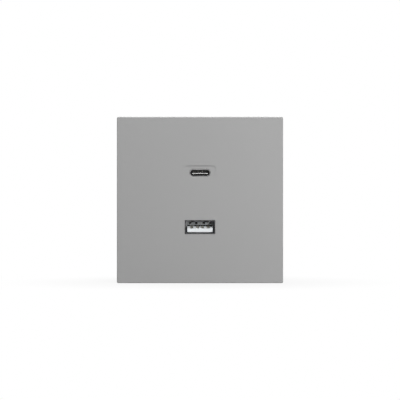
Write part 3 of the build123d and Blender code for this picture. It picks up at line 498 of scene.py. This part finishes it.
def tipped_tongue(name, node, port):
    """Dark moulding with a plated band on the lower half of its front end, towards -Y.

    The band is partly the plated edge of a metal sheet in the tongue and partly painted light: it is kept
    to the lower half as the lit part, and the dark moulding on the upper half stands as painted shade
    from the shell's upper lip. The band's two ends are painted lighter than its middle: painted glints.
    """
    low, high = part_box(node)
    material, shader, place = new_finish(name, {"Specular IOR Level": 0.12})
    x, y, z = axes(place)
    at_front = 1.0 - (y > low.y + port.tip_length)
    # Painted light and shade: the plated band covers only the lower half of the front end as its lit part,
    # and the upper half keeps the dark moulding as painted shade
    lit_lower_half = 1.0 - (z > (low.z + high.z) / 2 - port.painted_shade_drop)
    plated = at_front * lit_lower_half
    # Painted glints: the band's two ends, beyond its plain middle, are lighter than the middle
    painted_glint_tip = tuple(min(1.0, PAINTED_GLINT_ENDS * part) for part in port.tip)
    edge = between(abs(x) > port.tip_unglinted_middle, port.tip, painted_glint_tip)
    grain = noise(place, 0.15 * MM, 3.0)
    feed(
        shader,
        {
            "Base Color": between(plated, mottled(grain, port.narrow_tongue, 0.2), edge),
            "Metallic": plated,
            "Roughness": 0.14 + 0.1 * grain,
            "Normal": relief(grain, 0.004 * MM, 0.5),
        },
    )
    return material


def can_sleeve(name, colour, node, stripe_depth, bare_end):
    """Shrunk sleeve of a can along Y: a pale stripe along its upper side and a bare metal back end."""
    low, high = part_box(node)
    material, shader, place = new_finish(name, {"Coat Weight": 0.3, "Coat Roughness": 0.15})
    _, y, z = axes(place)
    stripe = z > high.z - stripe_depth
    bare = y > high.y - bare_end
    wrinkles = noise(place, 0.5 * MM, 2.0, (1.0, 6.0, 1.0))
    sleeve = between(stripe, colour, STRIPE_GREY)
    feed(
        shader,
        {
            "Base Color": between(bare, sleeve, BARE_ALUMINIUM),
            "Metallic": bare,
            "Roughness": 0.22 + 0.2 * wrinkles,
            "Normal": relief(wrinkles, 0.01 * MM, 0.5),
        },
    )
    return material


def wound_tape(name, colour, turn=0.6 * MM):
    """Thin tape round a winding: glossy, with the edges of the turns showing through as ridges."""
    material, shader, place = new_finish(name, {"Coat Weight": 0.4, "Coat Roughness": 0.12})
    bands = {"wave_type": "BANDS", "bands_direction": "Z"}
    wave = {"Vector": place, "Scale": 1.0 / turn, "Distortion": 0.6}
    turns = place.node("TexWave", bands, wave, "Fac")
    stains = noise(place, 1.5 * MM)
    feed(
        shader,
        {
            "Base Color": mottled(0.5 * turns + 0.5 * stains, colour, 0.2),
            "Roughness": 0.18 + 0.2 * stains,
            "Normal": relief(turns, 0.03 * MM, 0.5),
        },
    )
    return material


def glazed_tube(name, colour, node, cap):
    """Glazed ceramic tube along X with tinned end caps."""
    low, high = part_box(node)
    material, shader, place = new_finish(name, {"Coat Weight": 0.4, "Coat Roughness": 0.08})
    x, _, _ = axes(place)
    tinned = abs(x - (low.x + high.x) / 2) > (high.x - low.x) / 2 - cap
    grain = noise(place, 0.4 * MM, 3.0)
    feed(
        shader,
        {
            "Base Color": between(tinned, mottled(grain, colour, 0.08), CAP_TIN),
            "Metallic": tinned,
            "Roughness": 0.2 + 0.18 * grain,
            "Normal": relief(grain, 0.008 * MM, 0.5),
        },
    )
    return material


def masked_laminate(name, colour, width):
    """Board under solder mask: paler lands of copper between darker gaps, with the weave just showing."""
    material, shader, place = new_finish(name, {"Coat Weight": 0.3, "Coat Roughness": 0.2})
    land = cells(place, width, "DISTANCE_TO_EDGE") > LAND_GAP
    weave = noise(place, 0.25 * MM, 1.0)
    feed(
        shader,
        {
            "Base Color": mottled(0.75 * land + 0.25 * weave, colour, 0.45),
            "Roughness": 0.3 + 0.15 * weave,
            "Normal": relief(0.7 * land + 0.3 * weave, 0.03 * MM),
        },
    )
    return material


def dress(finish, *nodes):
    """Gives the named CAD nodes one finish."""
    for node in nodes:
        mesh = frame["nodes"][node].data
        mesh.materials.clear()
        mesh.materials.append(finish)


# Surfaces


SHARP = math.radians(35)

# Grid of a screw: points round it, and rows on its head, on the head's edge and in a turn of its thread
RING_POINTS = 96
HEAD_ROWS = 22
EDGE_ROWS = 7
ROWS_A_TURN = 10

# Form of a screw: the rounded share of its head, the share of the radius that its tip loses, the radius
# of the innermost ring, half the width of the recess's walls, and the depth lost at its arms' ends
HEAD_EDGE = 0.45
TIP_TAPER = 0.35
POLE_RADIUS = 0.02 * MM
RECESS_WALL = 0.12 * MM
RECESS_RISE = 0.55

# Grid of a clamp spring: rows along its fixed leg, bend and free leg, and columns across each free leg
FIXED_ROWS = 8
BEND_ROWS = 20
FREE_ROWS = 28
LEG_COLUMNS = 5


def closed_tube(rings):
    """Points and faces of a closed tube: rings[i, j] is point j of ring i, and a fan closes each end."""
    count, columns, _ = rings.shape
    row = np.arange(count - 1)[:, None] * columns
    here = np.arange(columns)[None, :]
    after = (here + 1) % columns
    quads = np.stack([row + here, row + after, row + columns + after, row + columns + here], axis=-1)
    points = np.concatenate([rings.reshape(-1, 3), rings[0].mean(0)[None], rings[-1].mean(0)[None]])
    first = np.arange(columns)
    second = (first + 1) % columns
    last = (count - 1) * columns
    near = np.stack([second, first, np.full(columns, count * columns)], axis=-1)
    far = np.stack([last + first, last + second, np.full(columns, count * columns + 1)], axis=-1)
    return points, [quads.reshape(-1, 4), near, far]


def outward(points, faces):
    """The same faces, all turned round if they enclose a negative volume."""
    volume = 0.0
    for group in faces:
        a, b = points[group[:, 0]], points[group[:, 1]]
        for corner in range(2, group.shape[1]):
            c = points[group[:, corner]]
            volume += np.einsum("ij,ij->", a, np.cross(b, c))
            b = c
    return faces if volume > 0 else [group[:, ::-1] for group in faces]


def repeated(points, faces, places):
    """One closed shape at each of the places, as one list of points and faces."""
    shifts = np.arange(len(places)) * len(points)
    moved = (points[None] + np.asarray(places)[:, None]).reshape(-1, 3)
    copies = [(group[None] + shifts[:, None, None]).reshape(-1, group.shape[1]) for group in faces]
    return moved, copies


def new_piece(name, mesh, finish):
    """An object at the origin that holds the mesh, with that finish and material slot."""
    mesh.materials.clear()
    mesh.materials.append(finish)
    piece = bpy.data.objects.new(name, mesh)
    bpy.context.scene.collection.objects.link(piece)
    return piece


def new_mesh(name, points, faces):
    """A mesh of those points and faces."""
    mesh = bpy.data.meshes.new(name)
    mesh.from_pydata(points.tolist(), [], [face for group in faces for face in group.tolist()])
    return mesh


def soften(mesh):
    """Shades the mesh smooth, apart from its sharp edges."""
    mesh.shade_smooth()
    mesh.set_sharp_from_angle(angle=SHARP)


def smooth_steps(value, low, high):
    """0 below low, 1 above high, a smooth S between."""
    share = np.clip((value - low) / (high - low), 0.0, 1.0)
    return share * share * (3.0 - 2.0 * share)


def cross_recess(x, y, reach, width):
    """Depth share of a cross recess: two crossed arms, deepest in the middle, with sloping walls."""

    def arm(along, across):
        inside = 1.0 - smooth_steps(np.abs(across), width / 2 - RECESS_WALL, width / 2 + RECESS_WALL)
        within = 1.0 - smooth_steps(np.abs(along), reach - 2 * RECESS_WALL, reach)
        return inside * within * (1.0 - RECESS_RISE * np.abs(along) / reach)

    return np.maximum(arm(x, y), arm(y, x))


def threaded_screw(head_r, head, shank_r, length, screw, towards):
    """Pan-head screw about Y: a profile of radius and depth turned round the axis.

    On the head's top the depth grows by the cross recess. On the shank the radius falls from crest to root
    with the distance of (depth / pitch - angle / full turn) from the middle of its turn. The head's top is
    at y = 0, and the shank runs towards +Y or -Y.
    """
    edge = HEAD_EDGE * head
    flat = np.linspace(POLE_RADIUS, head_r - edge, HEAD_ROWS)
    bend = np.linspace(0.0, math.pi / 2, EDGE_ROWS)
    shank = np.linspace(0.0, length, int(ROWS_A_TURN * length / screw.pitch))[1:]
    tip = smooth_steps(shank, length - screw.pitch, length)
    cut = smooth_steps(shank, 0.0, screw.pitch) * (1.0 - tip)
    head_rows = len(flat) + len(bend) + 2

    edge_r = head_r - edge * (1.0 - np.sin(bend))
    radius = np.concatenate([flat, edge_r, [head_r, shank_r], shank_r * (1.0 - TIP_TAPER * tip)])
    down = np.concatenate([0.0 * flat, edge * (1.0 - np.cos(bend)), [head, head], head + shank])
    recessed = np.arange(len(radius)) < len(flat)
    threaded = np.concatenate([np.zeros(head_rows), cut])

    angle = np.linspace(0.0, 2 * math.pi, RING_POINTS, endpoint=False)[None, :]
    turn = np.mod(down[:, None] / screw.pitch - angle / (2 * math.pi), 1.0)
    r = radius[:, None] - screw.thread_depth * threaded[:, None] * np.abs(2 * turn - 1)
    x, z = r * np.cos(angle), r * np.sin(angle)
    recess = cross_recess(x, z, screw.recess_reach * head_r, screw.recess_width * head_r)
    y = down[:, None] + screw.recess_depth * recessed[:, None] * recess
    points, faces = closed_tube(np.stack([x, towards * y, z], axis=-1))
    return points, outward(points, faces)


def spring_path(start, bend_middle, bend_r, tip):
    """Points (y, z) of a clamp spring's middle line: a level leg, a bend, and a straight leg to the tip.

    The bend turns from straight up to the angle at which the line to the tip leaves it as a tangent. That
    is the tip's direction from the bend's middle, plus the angle whose cosine is the bend's radius over
    the tip's distance.
    """
    reach = np.subtract(tip, bend_middle)
    leave = math.atan2(reach[1], reach[0]) + math.acos(bend_r / np.hypot(*reach))
    turn = np.linspace(math.pi / 2, leave, BEND_ROWS)
    bend = np.asarray(bend_middle) + bend_r * np.stack([np.cos(turn), np.sin(turn)], axis=-1)
    fixed = np.linspace(start, bend[0], FIXED_ROWS)[:-1]
    free = np.linspace(bend[-1], tip, FREE_ROWS)[1:]
    return np.concatenate([fixed, bend, free])


def forked_strip(path, forked, middle_x, width, fork):
    """Sheet carried along a path in the YZ plane, its width along X, with a middle gap where forked."""
    leg = np.linspace(fork / 2, width / 2, LEG_COLUMNS)
    across = np.concatenate([-leg[::-1], leg])
    x = np.broadcast_to(middle_x + across, (len(path), len(across)))
    y = np.broadcast_to(path[:, :1], x.shape)
    z = np.broadcast_to(path[:, 1:], x.shape)
    row, column = np.meshgrid(np.arange(len(path) - 1), np.arange(len(across) - 1), indexing="ij")
    kept = (column != LEG_COLUMNS - 1) | ~forked[row]
    corner = (row * len(across) + column)[kept]
    faces = np.stack([corner, corner + 1, corner + len(across) + 1, corner + len(across)], axis=-1)
    return np.stack([x, y, z], axis=-1).reshape(-1, 3), [faces]


def thicken(piece, thickness):
    """Gives a sheet its thickness, half to each side, and puts the result into its mesh."""
    wall = piece.modifiers.new("wall", "SOLIDIFY")
    wall.thickness = thickness
    wall.offset = 0.0
    depsgraph = bpy.context.evaluated_depsgraph_get()
    mesh = bpy.data.meshes.new_from_object(piece.evaluated_get(depsgraph))
    piece.modifiers.clear()
    piece.data = mesh


def letter_mesh(letter, size, rise):
    """A solid letter about the origin in the XY plane, of that size and thickness."""
    curve = bpy.data.curves.new("letter", "FONT")
    curve.body = letter
    curve.size = size
    curve.extrude = rise / 2
    curve.align_x = "CENTER"
    curve.align_y = "CENTER"
    writing = bpy.data.objects.new("letter", curve)
    bpy.context.scene.collection.objects.link(writing)
    bpy.context.view_layer.update()
    mesh = bpy.data.meshes.new_from_object(writing)
    bpy.data.objects.remove(writing)
    return mesh


# Stage


SHADOW_CORE = 1 / 3


def seen(tree):
    """1 on rays that come from the camera, a glossy surface or a clear one, 0 on the rest."""
    camera = Shade(tree).node("LightPath", result="Is Camera Ray")
    return (camera + camera.other("Is Glossy Ray") + camera.other("Is Transmission Ray")) > 0.5


def lay_floor(height, stage):
    """A wide pale floor that keeps the object's shadow and goes over into plain white further out."""
    corners = np.array([[-1, -1, 0], [1, -1, 0], [1, 1, 0], [-1, 1, 0]]) * stage.floor_side / 2
    mesh = new_mesh("floor", corners + [0, 0, height], [np.array([[0, 1, 2, 3]])])
    grey = (stage.floor_grey, stage.floor_grey, stage.floor_grey, 1.0)
    matt = {"Base Color": grey, "Roughness": 0.9, "Specular IOR Level": 0.0}
    material, shader, place = new_finish("floor_paper", matt)
    tree = material.node_tree
    distance = place.node("VectorMath", {"operation": "LENGTH"}, {0: place}, "Value")
    fade = {
        "Value": distance,
        "From Min": SHADOW_CORE * stage.shadow_reach,
        "From Max": stage.shadow_reach,
        "To Min": stage.floor_white,
    }
    white = distance.node("MapRange", {"interpolation_type": "SMOOTHSTEP"}, fade)
    paper = Shade(tree, shader.outputs["BSDF"])
    glow = place.node("Emission")
    surface = place.node("MixShader", {}, {0: seen(tree) * white, 1: paper, 2: glow})
    surface.feed(tree.nodes["Material Output"].inputs["Surface"])
    mesh.materials.append(material)
    floor = bpy.data.objects.new("floor", mesh)
    bpy.context.scene.collection.objects.link(floor)


def light_surroundings(scene, ambient):
    """Surroundings that are white where they are seen and light the object with the ambient strength."""
    world = bpy.data.worlds.new("surroundings")
    world.use_nodes = True
    tree = world.node_tree
    background = tree.nodes["Background"]
    background.inputs["Color"].default_value = (1.0, 1.0, 1.0, 1.0)
    strength = ambient + (1.0 - ambient) * seen(tree)
    strength.feed(background.inputs["Strength"])
    scene.world = world


def hang_lamp(name, place, aim, side, power):
    """A square soft lamp at a place counted from its aim, and turned towards it."""
    light = bpy.data.lights.new(name, "AREA")
    light.size = side
    light.energy = power
    lamp = bpy.data.objects.new(name, light)
    lamp.location = aim + Vector(place)
    lamp.rotation_euler = (-Vector(place)).to_track_quat("-Z", "Y").to_euler()
    bpy.context.scene.collection.objects.link(lamp)


def set_camera(scene, middle, distance, frame_width):
    """A camera square on to the cover plate, whose picture is frame_width wide at the plate's face."""
    camera = bpy.data.cameras.new("camera")
    camera.lens = camera.sensor_width * distance / frame_width
    holder = bpy.data.objects.new("camera", camera)
    holder.location = middle + Vector((0.0, -distance, 0.0))
    holder.rotation_euler = (math.pi / 2, 0.0, 0.0)
    scene.collection.objects.link(holder)
    scene.camera = holder


# Operators


class SOCKET_OT_cover(bpy.types.Operator):
    """Sprays the cover plate with satin grey lacquer."""

    bl_idname = "socket.cover"
    bl_label = "Cover plate"

    def execute(self, context):
        cover = context.scene.socket_cover
        lacquer = satin_lacquer("cover_lacquer", cover.colour, cover.grain, cover.peel, cover.roughness)
        dress(lacquer, "cover_plate")
        return {"FINISHED"}


class SOCKET_OT_ports(bpy.types.Operator):
    """Plates the port shells and contacts and colours the two tongues."""

    bl_idname = "socket.ports"
    bl_label = "Charging ports"

    def execute(self, context):
        port = context.scene.socket_ports
        dress(rolled_metal("wide_port_nickel", port.wide_shell, roughness=0.2), "usb_a_shell")
        dress(rolled_metal("narrow_port_steel", port.narrow_shell_painted_shade, roughness=0.16), "usb_c_shell")
        colour = port.wide_tongue
        white = moulding("wide_tongue_white", colour, port.grain, depth=0.004 * MM, roughness=0.38)
        dress(white, "usb_a_insulator")
        dress(tipped_tongue("narrow_tongue_black", "usb_c_tongue", port), "usb_c_tongue")
        # Both contacts take the record's gold: the wide port's lightened as painted light, the narrow
        # port's darkened as painted shade
        dress(rolled_metal("wide_contact_gold", port.wide_contact, roughness=0.42), "usb_a_contacts")
        dress(rolled_metal("narrow_contact_gold", port.narrow_contact, roughness=0.3), "usb_c_contacts")
        return {"FINISHED"}


class SOCKET_OT_housing(bpy.types.Operator):
    """Gives the mounting ring its zinc and the two housing shells their grain."""

    bl_idname = "socket.housing"
    bl_label = "Ring and shells"

    def execute(self, context):
        housing = context.scene.socket_housing
        dress(zinc_sheet("ring_zinc", housing.ring, housing.crystal), "support_ring")
        dress(moulding("front_shell_black", housing.front_shell, housing.grain), "front_shell")
        dress(moulding("base_shell_grey", housing.base_shell, housing.grain), "base_shell")
        return {"FINISHED"}


class SOCKET_OT_screws(bpy.types.Operator):
    """Makes the screws with thread and cross recess in place of the plain solids."""

    bl_idname = "socket.screws"
    bl_label = "Screws"

    def execute(self, context):
        screw = context.scene.socket_screws
        finish = rolled_metal("screw_zinc", screw.colour, roughness=0.3, along=(1.0, 1.0, 1.0))
        sets = (
            ("ring_screws", screw.ring_head_radius, screw.ring_head, screw.ring_shank_radius, 1),
            ("board_screws", screw.board_head_radius, screw.board_head, screw.board_shank_radius, -1),
        )
        for node, head_r, head, shank_r, towards in sets:
            low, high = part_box(node)
            length = high.y - low.y - head
            points, faces = threaded_screw(head_r, head, shank_r, length, screw, towards)
            top = low.y if towards > 0 else high.y
            columns = (low.x + head_r, high.x - head_r)
            rows = (low.z + head_r, high.z - head_r)
            places = [(x, top, z) for x in columns for z in rows]
            mesh = new_mesh(node + "_threaded", *repeated(points, faces, places))
            soften(mesh)
            piece = new_piece(node + "_threaded", mesh, finish)
            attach(piece, "socket")
            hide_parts(node)
        return {"FINISHED"}


class SOCKET_OT_boards(bpy.types.Operator):
    """Finishes the two boards with their spacers, header and pins."""

    bl_idname = "socket.boards"
    bl_label = "Boards"

    def execute(self, context):
        board = context.scene.socket_boards
        dress(masked_laminate("board_black", board.laminate, board.land), "port_board", "power_board")
        nylon = moulding("spacer_nylon", board.spacer, grain=0.4 * MM, depth=0.004 * MM, roughness=0.4)
        dress(nylon, "board_spacers")
        dress(moulding("header_black", board.header, grain=0.3 * MM), "board_header")
        dress(rolled_metal("pin_tin", board.pin, roughness=0.32), "header_pins")
        return {"FINISHED"}


class SOCKET_OT_components(bpy.types.Operator):
    """Finishes the parts that the two boards carry."""

    bl_idname = "socket.components"
    bl_label = "Board components"

    def execute(self, context):
        part = context.scene.socket_components
        chip = moulding("chip_black", part.chip, grain=0.15 * MM, depth=0.006 * MM, roughness=0.55)
        dress(chip, "charge_controller", "switch_controller", "optocoupler", "bridge_rectifier")
        dress(pressed_powder("choke_pressed", part.choke), "port_inductor")
        dress(pressed_powder("core_sintered", part.core), "transformer_core")
        dress(moulding("bobbin_black", part.bobbin, grain=0.3 * MM), "transformer_bobbin")
        dress(wound_tape("winding_yellow", part.tape), "transformer_winding")
        for node in ("input_capacitors", "output_capacitor"):
            dress(can_sleeve(node + "_sleeve", part.sleeve, node, part.stripe, part.bare_end), node)
        film = moulding("film_case_yellow", part.film, grain=0.25 * MM, depth=0.006 * MM, roughness=0.42)
        dress(film, "suppression_capacitor")
        dress(dipped_coat("drum_dark", part.drum), "line_inductor")
        dress(glazed_tube("fuse_glazed", part.fuse, "fuse", part.fuse_cap), "fuse")
        dress(dipped_coat("varistor_blue", part.varistor), "varistor")
        dress(dipped_coat("disc_blue", part.disc), "safety_capacitor")
        return {"FINISHED"}


class SOCKET_OT_terminal(bpy.types.Operator):
    """Finishes the terminal's body and busbars and colours its two release buttons."""

    bl_idname = "socket.terminal"
    bl_label = "Terminal"

    def execute(self, context):
        terminal = context.scene.socket_terminal
        body = moulding("terminal_grey", terminal.body, terminal.grain, depth=0.008 * MM, roughness=0.45)
        dress(body, "terminal_block", "terminal_cap")
        copper = rolled_metal("busbar_copper", terminal.busbar, roughness=0.3, along=(12.0, 1.0, 1.0))
        dress(copper, "busbar_live", "busbar_neutral")
        for pole in POLES:
            colour = getattr(terminal, pole)
            button = moulding(pole + "_button", colour, terminal.grain, depth=0.006 * MM, roughness=0.4)
            dress(button, "release_button_" + pole)
        return {"FINISHED"}


class SOCKET_OT_springs(bpy.types.Operator):
    """Makes the clamp springs as bent, forked strips."""

    bl_idname = "socket.springs"
    bl_label = "Clamp springs"

    def execute(self, context):
        spring = context.scene.socket_springs
        half = spring.sheet / 2
        finish = rolled_metal("spring_strip", spring.colour, roughness=0.24, along=(1.0, 12.0, 12.0))
        for pole in POLES:
            node = "clamp_spring_" + pole
            low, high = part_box(node)
            bend_y = high.y - half - spring.bend_radius
            bend_z = high.z - half - spring.bend_radius
            start = (low.y + half, high.z - half)
            tip = (start[0] + spring.setback, low.z + half)
            path = spring_path(start, (bend_y, bend_z), spring.bend_radius, tip)
            forked = (path[:, 0] < bend_y) & (path[:, 1] < bend_z)
            sheet = forked_strip(path, forked, (low.x + high.x) / 2, high.x - low.x, spring.fork)
            piece = new_piece(node + "_strip", new_mesh(node + "_strip", *sheet), finish)
            thicken(piece, spring.sheet)
            soften(piece.data)
            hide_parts(node)
            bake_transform(piece)
        return {"FINISHED"}


class SOCKET_OT_marks(bpy.types.Operator):
    """Raises each pole's letter on the terminal's back, in the colour of its button."""

    bl_idname = "socket.marks"
    bl_label = "Pole letters"

    def execute(self, context):
        mark = context.scene.socket_marks
        _, cap_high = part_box("terminal_cap")
        facing_back = Matrix(((-1, 0, 0), (0, 0, 1), (0, 1, 0))).to_4x4()
        for pole, letter in POLES.items():
            button = "release_button_" + pole
            button_low, button_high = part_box(button)
            mesh = letter_mesh(letter, mark.size, mark.rise)
            x = (button_low.x + button_high.x) / 2
            z = (button_high.z + cap_high.z) / 2
            mesh.transform(Matrix.Translation((x, cap_high.y + mark.rise / 2, z)) @ facing_back)
            finish = frame["nodes"][button].data.materials[0]
            piece = new_piece("pole_mark_" + pole, mesh, finish)
            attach(piece, "socket")
        return {"FINISHED"}


class SOCKET_OT_stage(bpy.types.Operator):
    """Lays the floor, hangs the lamps and sets up the camera and the white surroundings."""

    bl_idname = "socket.stage"
    bl_label = "Stage"

    def execute(self, context):
        stage = context.scene.socket_stage
        low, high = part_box("cover_plate")
        middle = Vector(((low.x + high.x) / 2, low.y, (low.z + high.z) / 2))
        lay_floor(low.z, stage)
        light_surroundings(context.scene, stage.ambient)
        hang_lamp("key_lamp", stage.key_place, middle, stage.key_side, stage.key_power)
        hang_lamp("front_lamp", stage.front_place, middle, stage.front_side, stage.front_power)
        hang_lamp("upper_lamp", stage.upper_place, middle, stage.upper_side, stage.upper_power)
        hang_lamp("side_lamp", stage.side_place, middle, stage.side_side, stage.side_power)
        hang_lamp("back_lamp", stage.back_place, middle, stage.back_side, stage.back_power)
        set_camera(context.scene, middle, stage.distance, stage.frame_width)
        context.scene.view_settings.view_transform = "Standard"
        return {"FINISHED"}


# Sidebar


OPERATORS = (
    SOCKET_OT_cover,
    SOCKET_OT_ports,
    SOCKET_OT_housing,
    SOCKET_OT_screws,
    SOCKET_OT_boards,
    SOCKET_OT_components,
    SOCKET_OT_terminal,
    SOCKET_OT_springs,
    SOCKET_OT_marks,
    SOCKET_OT_stage,
)
SETTINGS = {
    "socket_cover": CoverSettings,
    "socket_ports": PortSettings,
    "socket_housing": HousingSettings,
    "socket_screws": ScrewSettings,
    "socket_boards": BoardSettings,
    "socket_components": ComponentSettings,
    "socket_terminal": TerminalSettings,
    "socket_springs": SpringSettings,
    "socket_marks": MarkSettings,
    "socket_stage": StageSettings,
}


class SOCKET_PT_sidebar(bpy.types.Panel):
    """Lists the socket's settings and the operators that dress it."""

    bl_label = "Wall Socket"
    bl_idname = "SOCKET_PT_sidebar"
    bl_space_type = "VIEW_3D"
    bl_region_type = "UI"
    bl_category = "Socket"

    def draw(self, context):
        for name, group in SETTINGS.items():
            box = self.layout.box()
            box.label(text=group.__doc__)
            for setting in group.__annotations__:
                box.prop(getattr(context.scene, name), setting)
        for operator in OPERATORS:
            self.layout.operator(operator.bl_idname)


CLASSES = (*SETTINGS.values(), *OPERATORS, SOCKET_PT_sidebar)


def register():
    """Registers the classes and hangs each group of settings on the scene."""
    for entry in CLASSES:
        bpy.utils.register_class(entry)
    for name, group in SETTINGS.items():
        setattr(bpy.types.Scene, name, bpy.props.PointerProperty(type=group))


def unregister():
    """Takes the settings off the scene and the classes out of Blender."""
    for name in SETTINGS:
        delattr(bpy.types.Scene, name)
    for entry in reversed(CLASSES):
        bpy.utils.unregister_class(entry)


def main():
    """Dresses the socket, operator by operator."""
    register()
    for operator in OPERATORS:
        group, name = operator.bl_idname.split(".")
        getattr(getattr(bpy.ops, group), name)()


if __name__ == "__main__":
    main()
